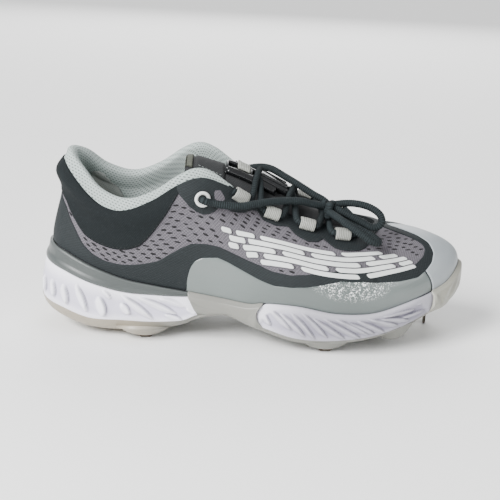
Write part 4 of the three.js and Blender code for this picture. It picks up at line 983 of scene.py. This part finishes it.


# raised leaves of the foam: length round the side and height share of both ends, half width, rise
leaves = [
    (12, 0.62, 14, 0.2, 3.0, 1.3), (20.5, 0.66, 22.5, 0.2, 3.2, 1.4), (29.3, 0.68, 32.2, 0.17, 3.4, 1.6),
    (38.5, 0.83, 46.5, 0.2, 3.4, 1.7), (54, 0.72, 57.6, 0.14, 4.2, 1.7), (57, 0.92, 62.5, 0.72, 2.2, 1.1),
    (69, 0.62, 74.8, 0.26, 3.3, 1.5), (69.5, 0.9, 90.5, 0.14, 3.0, 1.7), (80.5, 0.88, 106, 0.36, 2.8, 1.6),
    (94, 0.9, 112, 0.62, 2.6, 1.4), (98, 0.3, 110, 0.06, 2.2, 1.2), (107, 0.86, 118, 0.56, 2.3, 1.3),
    (112.5, 0.52, 120, 0.16, 2.3, 1.2),
]
flutes = {"from": 160.0, "to": 236.0, "pitch": 6.9, "half": 2.3, "rise": 1.6}
for n, start in enumerate(np.arange(flutes["from"], flutes["to"], flutes["pitch"])):
    top = 0.84 + 0.06 * math.sin(n * 2.1)
    long = np.interp(start, [160, 170, 200, 250], [9, 15, 21, 18]) * (1 + 0.12 * math.sin(n * 1.3))
    leaves.append((start, top, start + long, 0.18 + 0.06 * math.sin(n * 1.9), flutes["half"], flutes["rise"]))
# near the toe the leaves lie along the foam
leaves += [(239, 0.84, 262, 0.66, 1.6, 1.3), (250, 0.5, 270, 0.34, 1.6, 1.3), (264, 0.8, 284, 0.66, 1.5, 1.2),
           (272, 0.48, 286, 0.36, 1.4, 1.1)]


def sculpture(k, h):
    # the leaves swell towards their front edge and drop off sharply there
    s = np.interp(side(k), kTable, sideLength)
    tall = foamTop(k) - foamLow(k)
    total = np.zeros(np.broadcast(s, h).shape)
    cut = total * 0
    for s0, h0, s1, h1, half, rise in leaves:
        mid = np.interp((s0 + s1) / 2, sideLength, kTable)
        run = np.array([s1 - s0, (h1 - h0) * float(foamTop(mid) - foamLow(mid))])
        long = math.hypot(*run)
        x, z = s - s0, (h - h0) * tall
        t = (x * run[0] + z * run[1]) / long ** 2
        away = (-x * run[1] + z * run[0]) / long * (1 if h1 < h0 else -1)
        reach = half * np.sqrt(np.clip(np.sin(math.pi * np.clip(t, 0, 1)), 0, 1)) + 1e-6
        u = away / reach
        within = (t > 0) & (t < 1)
        shape = np.where(within, bump4(u, -1.15, 0.66, 0.74, 1.0), 0)
        total = np.maximum(total, 1.75 * rise * shape * np.minimum(1, reach / half * 1.3))
        # how near the leaf's sharp edge, drawn on the foam as a painted shadow line
        sharp = np.exp(-((u - 0.98) / 0.16) ** 2) * np.clip(2 * reach / half - 0.5, 0, 1)
        cut = np.maximum(cut, np.where(within, sharp, 0))
    uncovered = np.clip((coverShare(k - leanAt(k, h)) - 0.82) / 0.1, 0, 1)
    window = bump4(h, 0.0, 0.3, 0.6, 1.0)
    # raised share: the sunk ground between the leaves takes painted shade
    raised = 1 - window * uncovered * (1 - smoothStep(total, 0.1, 1.0))
    return (total - 1.2 * window) * uncovered, raised, cut * uncovered * np.clip(window * 3, 0, 1)


kFoam = np.arange(0, loopSteps, 1 / (2 * fine))
levels = np.linspace(0, 1, sole["foamRows"] + 1)
carved = [sculpture(kFoam, h) for h in levels]
foamLoops = [foamAt(kFoam, h, c[0]) for h, c in zip(levels, carved)]
# a soft lip cups the film's lower edge wherever no rand covers it
gapAbove = biteZ(kFoam) - foamTop(kFoam)
lipRise = np.where(gapAbove < 2.6, gapAbove + 0.5, 0.3) * np.clip((coverShare(kFoam) - 0.9) / 0.06, 0, 1)
for inset, most, share in ((0.5, 2.2, 1.0), (1.0, 1.05, 0.9)):
    foamLoops.append(besideBite(kFoam, np.minimum(foamOut(kFoam, 1.0) - inset, most), foamTop(kFoam) + lipRise * share))
foamLoops.append(tuckAt(kFoam, foamTuck(kFoam), last["fit"]))
foamLoops.append(tuckAt(kFoam, 1.0, last["fit"]))
foamLoops[-1][:, 2] = footbed(kFoam)
plainRelief = np.stack([1 + 0 * kFoam, 0 * kFoam], -1)
# the pattern map carries the painted shade of the sunk ground and the painted shadow along the leaves' sharp edges
foamRelief = np.stack([np.stack([c[1], 0.75 * c[2]], -1) for c in carved] + [plainRelief] * 4)
midsole = makePiece("midsoleFoam", [cappedPart(foamLoops, sole["crown"], 0.0, relief=foamRelief)], "foam",
                    ["midsole"])

# heel rand: a lip over the foam that fades out before the arch
rand = {"end": 13.0, "lip": 2.4}
kRand = np.linspace(-rand["end"], rand["end"], 26 * fine + 1)
heights = np.array([0, 0.03, 0.1, 0.22, 0.34, 0.4, 0.46, 0.6, 0.8, 0.94, 1.0])
swellOut = np.array([0.0, 0.5, 0.75, 0.7, 0.4, 0.1, 0.0, -0.05, 0.0, 0.15, -0.45])
lowRand = foamTop(kRand) + last["fit"]
bottom = foamOut(kRand, 1.0)
fade = np.clip((rand["end"] - np.abs(kRand)) / 1.5, 0.15, 1)
rows, backs = [], []
for h, s in zip(heights, swellOut):
    z = lowRand + (biteZ(kRand) - lowRand) * h
    rows.append(besideBite(kRand, bottom + (rand["lip"] - bottom) * h + s * fade, z))
    backs.append(tuckAt(kRand, foamTuck(kRand) * (1 - h), last["fit"]))
    backs[-1][:, 2] = z
uv = np.stack(np.broadcast_arrays(roundAt(kRand)[None, :], (heights * 12)[:, None]), -1)
makePiece("heelRandLip", [sheetPart(np.stack(rows), np.stack(backs), uv)], "rand", ["heel_rand"])


# plate with its shank and toe walls, then the studs' mounds
def wallAt(k, h, extra):
    share = np.clip(wallShare(k), sole["lipShare"], 1)
    q = side(k)
    wave = bump4(q, 30.6, 31.6, 33.4, 34.6) * bump4(share * h, 0.2, 0.35, 0.8, 0.95)
    wave = sole["wave"] * wave * np.cos(2 * math.pi * (1.7 * h - 0.75 * (q - 31)))
    swell = sole["endSwell"] * 4 * share * (1 - share) * 0.4
    return foamAt(k + leanAt(k, share * h), share * h, extra + wave * (extra > 1) + swell)


kPlate = kRing
rising = smoothStep(wallShare(kPlate), 0.04, 0.5)
outerWall = 0.35 + (sole["gap"] + sole["wall"] - 0.35) * rising
innerWall = outerWall - 0.5 - (sole["wall"] - 0.5) * rising
lowEdge = edgeLow(kPlate) + np.interp(side(kPlate), [0, 20, 23, 27, 30.5, 33, 36], [0, 0, 0.8, 2.2, 2.4, 0.8, 0.4])
foot, foamFoot = foamOut(kPlate, 0), foamLow(kPlate)
plateLoops = [
    besideBite(kPlate, foot - 6.5, lowEdge),
    besideBite(kPlate, foot - 3.2, lowEdge + 0.3),
    besideBite(kPlate, foot - 1.3 + 0.5 * rising, lowEdge * 0.75 + foamFoot * 0.25),
    besideBite(kPlate, foot - 0.3 + 1.2 * rising, (lowEdge + foamFoot) / 2),
]
plateLoops += [wallAt(kPlate, h, outerWall) for h in np.linspace(0, 0.91, 15)]
plateLoops += [wallAt(kPlate, 0.96, outerWall - 0.1), wallAt(kPlate, 0.99, outerWall - 0.35)]
# the wall's top turns in to a thin lip on the film
high = smoothStep(wallShare(kPlate), 0.8, 1.0)[:, None]
kMoved = kPlate + leanAt(kPlate, 1.0)
for extra, out, above in ((outerWall - 0.6, 2.1, 0.1), (innerWall + 0.1, 1.6, 0.9), (innerWall + 0.05, 1.05, 0.7)):
    lip = besideBite(kMoved, out, biteZ(kMoved) + above)
    plateLoops.append(wallAt(kPlate, 1.0, extra) * (1 - high) + lip * high)
plateLoops += [wallAt(kPlate, h, innerWall) for h in (1.0, 0.8, 0.65, 0.3, 0)]
plateLoops.append(besideBite(kPlate, foot - 0.6, foamFoot - last["fit"]))
points, faces, uvs, _ = cappedPart(plateLoops, sole["crown"], sole["crown"])
toeFrom = 262
platePart = (points, faces, uvs, np.where(points[faces].mean(1)[:, 0] > toeFrom, 1, 0))

studs = [
    # name, x share, across share, turn, mound length, mound width, mound low, blade
    ("heelLateral", 0.253, -0.01, 15, 0.13, 0.066, 2.6, "blade_heel_lateral"),
    ("heelMedial", 0.253, 1.01, -15, 0.13, 0.066, 2.6, "blade_heel_medial"),
    ("heelBack", 0.1, 0.5, 90, 0.06, 0.05, 3.2, "blade_heel_back"),
    ("ballLateral", 0.667, 0.045, 8, 0.13, 0.062, 2.6, "blade_ball_lateral"),
    ("ballMedial", 0.71, 0.955, -8, 0.13, 0.062, 2.6, "blade_ball_medial"),
    ("ballMiddle", 0.735, 0.42, 90, 0.05, 0.042, 3.4, "blade_ball_middle"),
    ("toeLateral", 0.825, 0.075, 24, 0.11, 0.064, 6.5, None),
    ("toeMedial", 0.93, 0.72, 80, 0.045, 0.04, 6.5, "blade_toe_medial"),
]
moundProfile = [(0.0, 0.0), (0.3, 0.0), (0.42, 0.04), (0.52, 0.12), (0.62, 0.26), (0.72, 0.44), (0.82, 0.64),
                (0.92, 0.84), (1.0, 0.97), (1.08, 1.06)]
bladeShape = {"length": 11.0, "tip": 0.32, "root": 0.5, "half": 1.1, "edge": 0.35}
kWhole = np.arange(1, toeTip)


def plateSpot(x, across):
    near = int(kWhole[np.argmin(np.abs(biteX(kWhole) - x))])
    y = biteY(near) + (biteY(loopSteps - near) - biteY(near)) * across
    arch = 4 * across * (1 - across) * sole["crown"] * 0.9
    return float(x), float(y), float((edgeLow(near) + foamLow(near)) / 2 + arch)


def ringRound(x, y, z, px, py, turn):
    return np.stack([x + px * math.cos(turn) - py * math.sin(turn), y + px * math.sin(turn) + py * math.cos(turn),
                     np.full_like(px, z)], -1)


def squared(wave, half):
    return np.sign(wave) * np.abs(wave) ** 0.25 * half


moundParts = []
for name, xShare, across, turn, long, wide, low, node in studs:
    x, y, z = plateSpot(xShare * last["length"], across)
    angle = np.linspace(0, 2 * math.pi, 49)[:-1]
    rings = []
    for reach, climb in moundProfile:
        # the mound flattens to a rounded block towards its tip
        square = 1 + 0.10 * (1 - min(1, reach)) * np.cos(4 * angle)
        px, py = (reach * size * last["length"] / 2 * wave * square
                  for size, wave in ((long, np.cos(angle)), (wide, np.sin(angle))))
        height = low + (z - low) * min(climb, 1.0) + max(0, climb - 1) * 6
        rings.append(ringRound(x, y, height, px, py, math.radians(0 if node and abs(turn) > 45 else turn)))
    rings.append(rings[-1] * 0 + np.array([x, y, z + 0.8]))
    uv = np.stack(np.broadcast_arrays(angle * 8, np.arange(len(rings))[:, None] * 2.0), -1)
    moundParts.append(gridPart(np.stack(rings), closedColumns=True, uv=np.concatenate([uv, uv[:, :1] + [50, 0]], 1)))
    if node:
        # trapezoid blade with rounded edges: narrower at the ground
        top = low + 3.2
        corner = np.linspace(0, 2 * math.pi, 33)[:-1]
        outline = []
        for share in np.linspace(0, 1, 9):
            spread = bladeShape["tip"] + (bladeShape["root"] - bladeShape["tip"]) * min(1, top * share / low)
            pull = bladeShape["edge"] if share in (0.0, 1.0) else 0.0
            px = squared(np.cos(corner), bladeShape["length"] * spread - pull)
            py = squared(np.sin(corner), bladeShape["half"] - pull)
            outline.append(ringRound(x, y, top * share, px, py, math.radians(turn)))
        ends = [outline[0] * 0 + np.array([x, y, z]) for z in (0, top)]
        blade = gridPart(np.stack([ends[0]] + outline + [ends[1]]), closedColumns=True)
        makePiece("blade" + name[0].upper() + name[1:], [blade], "steel", [node])
makePiece("solePlate", [platePart] + moundParts, "plate plateToe", ["outsole"])
print("sole ready")

# insole, a thin pad that follows the footbed
padLoops = []
for h, grow in ((0.0, -0.6), (0.6, 0.0), (2.6, 0.0), (3.3, -0.5), (3.6, -1.6)):
    padLoops.append(tuckAt(kPlate, 1.0, -last["wall"] - 2 * last["fit"] + grow))
    padLoops[-1][:, 2] = footbed(kPlate) + last["fit"] + h
insole = makePiece("insolePad", [cappedPart(padLoops, 0, 0)], "insole", ["insole"])

# tongue: a padded arch with rolled edges and a sewn channel inside its border
tongue = {"thickness": 4.5, "border": 0.86}
tongueRows = np.array([
    # x, y, ridge, half width, drop
    (0.327, 0.0185, 1.0083, 0.139, 0.05), (0.353, 0.0185, 1.0125, 0.1667, 0.075),
    (0.393, 0.0185, 0.9875, 0.1806, 0.1083), (0.447, 0.0185, 0.9542, 0.1898, 0.15),
    (0.5, 0.0185, 0.9042, 0.1944, 0.165), (0.56, 0.0231, 0.8292, 0.1991, 0.162),
    (0.62, 0.0278, 0.748, 0.1991, 0.153), (0.68, 0.037, 0.688, 0.1898, 0.135),
    (0.733, 0.0463, 0.6458, 0.1759, 0.11), (0.78, 0.0556, 0.6042, 0.1574, 0.085),
    (0.82, 0.0648, 0.575, 0.1296, 0.067),
])
tongueEnd = len(tongueRows) - 1


def tongueAt(r, across):
    r, across = paired(r, across)
    x, y, ridge, half, drop = (np.interp(r, np.arange(tongueEnd + 1), tongueRows[:, c]) for c in range(5))
    return np.stack([x * last["length"], (y + half * across) * last["ball"],
                     (ridge - drop * across ** 2) * last["instep"]], -1)


def tongueOut(r, across):
    r, across = paired(r, across)
    one = tongueAt(np.minimum(r + 0.25, tongueEnd), across) - tongueAt(np.maximum(r - 0.25, 0), across)
    other = tongueAt(r, np.minimum(1, across + 0.1)) - tongueAt(r, np.maximum(-1, across - 0.1))
    return unit(np.cross(one, other))


def onTongue(r, across, lift):
    return tongueAt(r, across) + tongueOut(r, across) * np.asarray(lift, float)[..., None]


def tonguePatch(start, end, half, low, high, rows, columns, rounding=0.5, centre=0.0):
    # a plate on the tongue with rounded edges, from low to high above its surface
    r = np.linspace(start, end, rows)[:, None]
    c = np.linspace(-1, 1, columns)[None, :]
    lengthwise = 1 - np.abs(2 * (r - start) / (end - start) - 1) ** 14
    edge = np.minimum(1, (1 - np.abs(c) ** 8) * 3) * np.minimum(1, lengthwise * 3)
    lift = low + (high - low) * (1 - rounding + rounding * np.clip(edge, 0, 1))
    front = onTongue(r, centre + c * half, lift)
    return sheetPart(front, onTongue(r, centre + c * half, low + 0 * lift), front[..., :2].copy())


r = np.linspace(0, tongueEnd, 121)[:, None]
c = np.linspace(-1, 1, 49)[None, :]
ends = np.clip(np.minimum(r / 0.12, 1) * np.minimum((tongueEnd - r) / 0.15, 1), 0, 1)
body = np.sqrt(np.clip(1 - np.abs(c) ** 10, 0, 1)) * np.sqrt(np.clip(1 - (1 - ends) ** 2, 0, 1))
channel = 0.9 * np.exp(-(((np.abs(c) - tongue["border"]) / 0.022) ** 2)) * smoothStep(r, 0.5, 0.8)
ribs = 0.35 * np.exp(-((np.mod(r * 2.2, 1) - 0.5) / 0.12) ** 2) * (np.abs(c) < 0.8) * smoothStep(r, 4.4, 4.6)
half = tongue["thickness"] / 2
front = onTongue(r, c, -half + half * body - (channel + ribs) * body)
behind = onTongue(r, c, -half - half * body)
tonguePiece = makePiece("tonguePad", [sheetPart(front, behind, front[..., :2].copy())], "tongue", ["tongue"])
binding = [tonguePatch(0.16, 0.68, 0.8, 0.35, 1.5, 9, 25, 0.4), tonguePatch(0.02, 0.1, 0.86, 0.1, 0.9, 5, 25, 0.4)]
makePiece("tongueBinding", binding, "olive", ["tongue_webbing"])
# bare label patch and the moulded lace guide with its slots
makePiece("tongueLabel", [tonguePatch(0.9, 2.5, 0.74, 0.1, 0.8, 13, 21, 0.5)], "tongue")
guide = [tonguePatch(2.45, 4.6, 0.5, 0.4, 1.6, 31, 21, 0.5)]
guide += [tonguePatch(2.5, 4.55, half, 1.4, 4.4, 31, 9, 0.75, centre)
          for centre, half in ((-0.42, 0.1), (0.0, 0.05), (0.42, 0.1))]
guide += [tonguePatch(start, start + 0.12, 0.46, 1.4, 4.0, 5, 17, 0.75) for start in (2.48, 3.0, 3.5, 4.0, 4.46)]
guide.append(tonguePatch(3.75, 5.05, 0.34, 1.0, 5.4, 21, 15, 0.7))
guide += [tonguePatch(3.85, 4.95, 0.05, 5.2, 6.4, 21, 7, 0.7, centre) for centre in (-0.2, 0.2)]
makePiece("laceGuideStrip", guide, "guide", ["lace_guide"])
# a folded tape on the lace guide
makePiece("tongueTape", [tonguePatch(2.95, 3.5, 0.3, 4.0, 5.4, 9, 13, 0.6)], "loop")
print("tongue ready")

# webbing loops: a woven tape folded to a low tunnel beside the throat
loopTape = {"drop": 9.0, "tunnel": 3.4, "tape": 1.1, "width": 10.5,
            "places": [(19.3, 0.93), (22.2, 0.88), (24.8, 0.86), (27.3, 0.8)]}
overEyestay = 1.5 * last["fit"] + 0.8 + last["fit"]


def frameAt(k, v, lift):
    # a place on the upper and its directions along the shoe, up the wall and out
    low = math.floor(k)
    t = k - low
    point, out = ((1 - t) * at(low, v) + t * at(low + 1, v) for at in (upperAt, upperOut))
    out = unit(out)
    climb = unit(np.cross(out, unit(upperAt(low + 1, v) - upperAt(low, v))))
    return point + out * lift, unit(np.cross(climb, out)), climb, out


angle = np.linspace(0, math.pi, 21)
tape, wide, high = loopTape["tape"], loopTape["drop"] / 2, loopTape["tunnel"] + 2 * loopTape["tape"]
outerArc = np.stack([wide * np.cos(angle), high * np.sin(angle) ** 0.7], 1)
innerArc = np.stack([(wide - 1.4 * tape) * np.cos(angle), tape + (high - 2 * tape) * np.sin(angle) ** 0.7], 1)
tunnel = np.concatenate([outerArc, innerArc[::-1]])
tapeMiddle = np.concatenate([(outerArc + innerArc) / 2, ((outerArc + innerArc) / 2)[::-1]])
tapeLength = np.append(runLength(tunnel), 30)
sideways = np.linspace(-loopTape["width"] / 2, loopTape["width"] / 2, 13)
loopFrames = {"lateral": [], "medial": []}
for index, (k, v) in enumerate(loopTape["places"]):
    for name, at in (("lateral", k), ("medial", loopSteps - k)):
        origin, run, climb, out = frameAt(at, v, overEyestay + 0.3)
        closing = [origin + run * end + tapeMiddle[:, :1] * climb + tapeMiddle[:, 1:] * out
                   for end in sideways[[0, -1]]]
        grid = []
        for s in sideways:
            shaped = tunnel + (tapeMiddle - tunnel) * (0.25 if s in sideways[[0, -1]] else 0.0)
            # the tape bellies a little over the lace
            bulge = 1 + 0.05 * (1 - (2 * s / loopTape["width"]) ** 2)
            grid.append(origin + run * s + shaped[:, :1] * climb + shaped[:, 1:] * bulge * out)
        rings = np.stack([closing[0]] + grid + [closing[1]])
        uv = np.stack(np.broadcast_arrays(np.concatenate([[0], sideways, [0]])[:, None], tapeLength[None, :]), -1)
        makePiece(f"laceLoop{name.capitalize()}{index + 1}", [gridPart(rings, closedColumns=True, uv=uv)], "loop",
                  [f"lace_loop_{name}_{index + 1}"], weld=1e-6)
        loopFrames[name].append((origin, run, climb, out))

# eyelet rings and the dark holes in them, discs of painted shade: sections as (radius, lift)
ringSection = [(2.9, -0.9), (2.9, 0.5), (3.15, 1.15), (3.7, 1.5), (4.3, 1.55), (4.9, 1.3), (5.3, 0.8), (5.4, 0.3),
               (5.4, 0.0), (4.0, -0.1), (3.2, -0.9)]
holeSection = [(0.01, -0.7), (2.85, -0.7), (2.85, -0.9), (0.01, -0.9)]
angle = np.linspace(0, 2 * math.pi, 65)[:-1, None]
for name, at in (("lateral", 14.8), ("medial", loopSteps - 14.8)):
    origin, run, climb, out = frameAt(at, 0.79, overEyestay + 0.2)
    ring, hole = (gridPart([origin + radius * np.cos(angle) * run + radius * np.sin(angle) * climb + lift * out
                            for radius, lift in section], closedRows=True, closedColumns=True)
                  for section in (ringSection, holeSection))
    makePiece("eyeletRing" + name.capitalize(), [ring], "ring", ["eyelet_" + name])
    makePiece("eyeletHole" + name.capitalize(), [hole], "slit")
print("loops and eyelets ready")


# lower rows of the lace: two cords that zigzag through the loops and cross over the tongue
def loopCentre(name, index, run=0.0, rise=2.6):
    origin, along, climb, out = loopFrames[name][index]
    return list(origin + along * run * (1 if name == "lateral" else -1) + out * rise)


def overTongue(x, across, lift):
    rs = np.linspace(0, tongueEnd, 201)
    return list(onTongue(rs[np.argmin(np.abs(tongueAt(rs, across)[:, 0] - x))], across, lift))


def zigzag(first, other, lifts):
    points = []
    here, there = first, other
    for index in (3, 2, 1, 0):
        points += [loopCentre(here, index, run, rise) for run, rise in ((6.5, 2.4), (0, 2.6), (-6.5, 2.2))]
        if index:
            xHere = loopCentre(here, index, -8.5, 1.6)[0]
            xThere = loopCentre(there, index - 1, 8.5, 1.6)[0]
            for t in (0.25, 0.5, 0.75):
                across = (-1 if here == "lateral" else 1) * (1 - 2 * t) * 0.8
                points.append(overTongue(xHere + (xThere - xHere) * t, across, lifts[index - 1] + 3.1))
            here, there = there, here
    return points


rows = [zigzag("lateral", "medial", (0.0, 2.6, 0.0)), zigzag("medial", "lateral", (2.6, 0.0, 2.6)),
        [loopCentre("lateral", 3, 6.5, 2.4), overTongue(223, -0.5, 3.4), overTongue(224, 0, 3.6),
         overTongue(223, 0.5, 3.4), loopCentre("medial", 3, 6.5, 2.4)]]
rowPieces = [lacePiece(f"laceRow{n + 1}", splineThrough(row, 1.0)[0], lace["rowDiameter"])
             for n, row in enumerate(rows)]
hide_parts("lace_crossings")
print("lace rows ready")


# open slits of the knit, dark marks of painted shade, and the seams' stitches are marks laid on loose points
def turnsFrom(runs, outs):
    # Euler turns that lay a mark's length along run and its height along out
    turns = []
    for run, out in zip(runs, outs):
        z = Vector(out)
        x = Vector(run)
        x = (x - z * x.dot(z)).normalized()
        turns.append(tuple(Matrix((x, z.cross(x), z)).transposed().to_euler()))
    return np.array(turns)


def markPiece(name, tree, mark, finish, slot, places, runs, outs, grows):
    sizes = {label.capitalize(): mark[label] / 1000 for label in ("length", "width", "height")}
    return runTree(name, inFrame(places), tree, {**sizes, "Finish": finishes[finish]},
                   {"turn": turnsFrom(runs, outs), "grow": grows})


slits = {"pitch": 7.4, "row": 0.044, "length": 4.3, "width": 1.35, "height": 0.5, "seed": 7, "clear": 0.022}
rng = np.random.default_rng(slits["seed"])


def knitShows(k, v):
    q = side(k)
    bottom = np.where(q < 27, lines["overlayTop"](q), lines["toeBandTop"](q))
    top = np.where(q < 12.4, lines["collarLow"](q), lines["eyestayLow"](q))
    seen = (v > bottom + slits["clear"]) & (v < top - slits["clear"]) & (q < 34.6)
    beyondGraphic = (v < lines["graphicLow"](q) - 0.02) | (v > lines["graphicTop"](q) + 0.02)
    return seen & ((q < 15.6) | (q > 31.0) | beyondGraphic)


marks = []
ks = np.arange(0, toeTip, 0.05)
for rowIndex, v in enumerate(np.arange(0.03, 0.93, slits["row"])):
    length = runLength(upperAt(ks, v))
    spots = np.arange((rowIndex % 2) * slits["pitch"] / 2 + 1.5, length[-1], slits["pitch"])
    for k in np.interp(spots, length, ks):
        for at, sign in ((k, 1), (loopSteps - k, -1)):
            kk, vv = at + rng.normal(0, 0.05), v + rng.normal(0, 0.0025)
            if knitShows(kk, vv):
                run = unit(upperAt(kk + 0.3 * sign, vv - 0.01) - upperAt(kk - 0.3 * sign, vv + 0.01))
                grow = (rng.uniform(0.75, 1.15), rng.uniform(0.8, 1.2), 1.0)
                marks.append((onUpper(kk, vv, 0.05), run, upperOut(kk, vv), grow))
markPiece("knitSlits", markTree("knitSlits", 10, 4), slits, "slit", "guide", *zip(*marks))
print(len(marks), "slits")

stitches = {"pitch": 2.6, "length": 1.9, "width": 0.5, "height": 0.42}
capsule = markTree("seamStitches", 6, 5)


def seamAlong(points, outs):
    # a stitch at each pitch along the line: its place, direction and outward direction
    length = runLength(points)
    marks = np.arange(1.0, length[-1], stitches["pitch"])
    at, ahead, behind, out = (np.stack([np.interp(marks + step, length, line[:, n]) for n in range(3)], 1)
                              for step, line in ((0, points), (0.4, points), (-0.4, points), (0, outs)))
    return at, unit(ahead - behind), unit(out)


def seamOnUpper(k, v, mirror, lift, facing=1):
    k = loopSteps - k if mirror else k
    return seamAlong(onUpper(k, v, lift), facing * upperOut(k, v))


def seamOnTongue(start, end, across, lift, count):
    rs = np.linspace(start, end, count)
    return seamAlong(onTongue(rs, across, lift), tongueOut(rs, across))


kSeam, kStay = np.linspace(-12.0, 12.0, 241), np.linspace(13.0, 30.0, 341)
kPad = np.linspace(pad["from"] + 0.15, pad["to"] - 0.05, 90)
collarSeam = np.minimum(lines["collarLow"](kSeam) + 0.022, bandLow(kSeam) - 0.02)
dark = [seamOnUpper(kSeam, collarSeam, False, 1.0)]
pale = [seamOnTongue(1.0, 4.2, -0.9, 0.12, 60), seamOnTongue(1.0, 4.2, 0.9, 0.12, 60),
        seamOnTongue(1.1, 2.3, -0.62, 0.98, 40)]
padSeam = lines["padTop"](kPad) - 0.012
for mirror in (False, True):
    dark.append(seamOnUpper(kStay, lines["eyestayLow"](kStay) + 0.024, mirror, 1.15))
    wall = wallThickness(loopSteps - kPad if mirror else kPad, padSeam)
    pale.append(seamOnUpper(kPad, padSeam, mirror, -wall - 0.85, -1))
for name, seams, finish, slot in (("panelStitches", dark, "darkThread", "dark_panel"),
                                  ("tongueStitches", pale, "thread", "webbing")):
    at, run, out = (np.concatenate(group) for group in zip(*seams))
    markPiece(name, capsule, stitches, finish, slot, at, run, out, np.ones((len(at), 3)))
print("stitches ready")

# floor and studio light
studio = {"floor": "#F8F8F7", "half": 60, "sky": "#F7F8FA", "world": 0.62, "sunAngle": 22.0}
half = studio["half"]
floorMesh = bpy.data.meshes.new("studioFloor")
floorMesh.from_pydata([(-half, -half, 0), (half, -half, 0), (half, half, 0), (-half, half, 0)], [], [(0, 1, 2, 3)])
floor = addObject("studioFloor", floorMesh)
floorFinish, _, _ = startFinish("matt white paper floor", {"Roughness": 0.85, "Base Color": studio["floor"]})
floorMesh.materials.append(floorFinish)
world = bpy.data.worlds.new("studioWorld")
world.use_nodes = True
sky = world.node_tree.nodes["Background"]
setInputs(world.node_tree, sky, {"Color": studio["sky"], "Strength": studio["world"]})
bpy.context.scene.world = world
lights = [
    # name, kind, place, size, strength
    ("softSun", "SUN", (-1.0, -0.6, 1.1), math.radians(studio["sunAngle"]), 3.4),
    ("keyBox", "AREA", (-0.55, -0.75, 0.6), 0.35, 15.0),
    ("fillBox", "AREA", (0.85, -0.5, 0.5), 0.5, 2.5),
    ("backBox", "AREA", (0, 2.4, 1.6), 2.2, 60.0),
]
for name, kind, spot, size, strength in lights:
    lightData = bpy.data.lights.new(name, kind)
    if kind == "SUN":
        lightData.angle = size
    else:
        lightData.shape = "SQUARE"
        lightData.size = size
    lightData.energy = strength
    towards = (Vector((0, 0, 0.05)) - Vector(spot)).to_track_quat("-Z", "Y").to_matrix().to_4x4()
    addObject(name, lightData).matrix_world = Matrix.Translation(spot) @ towards
print("studio ready")
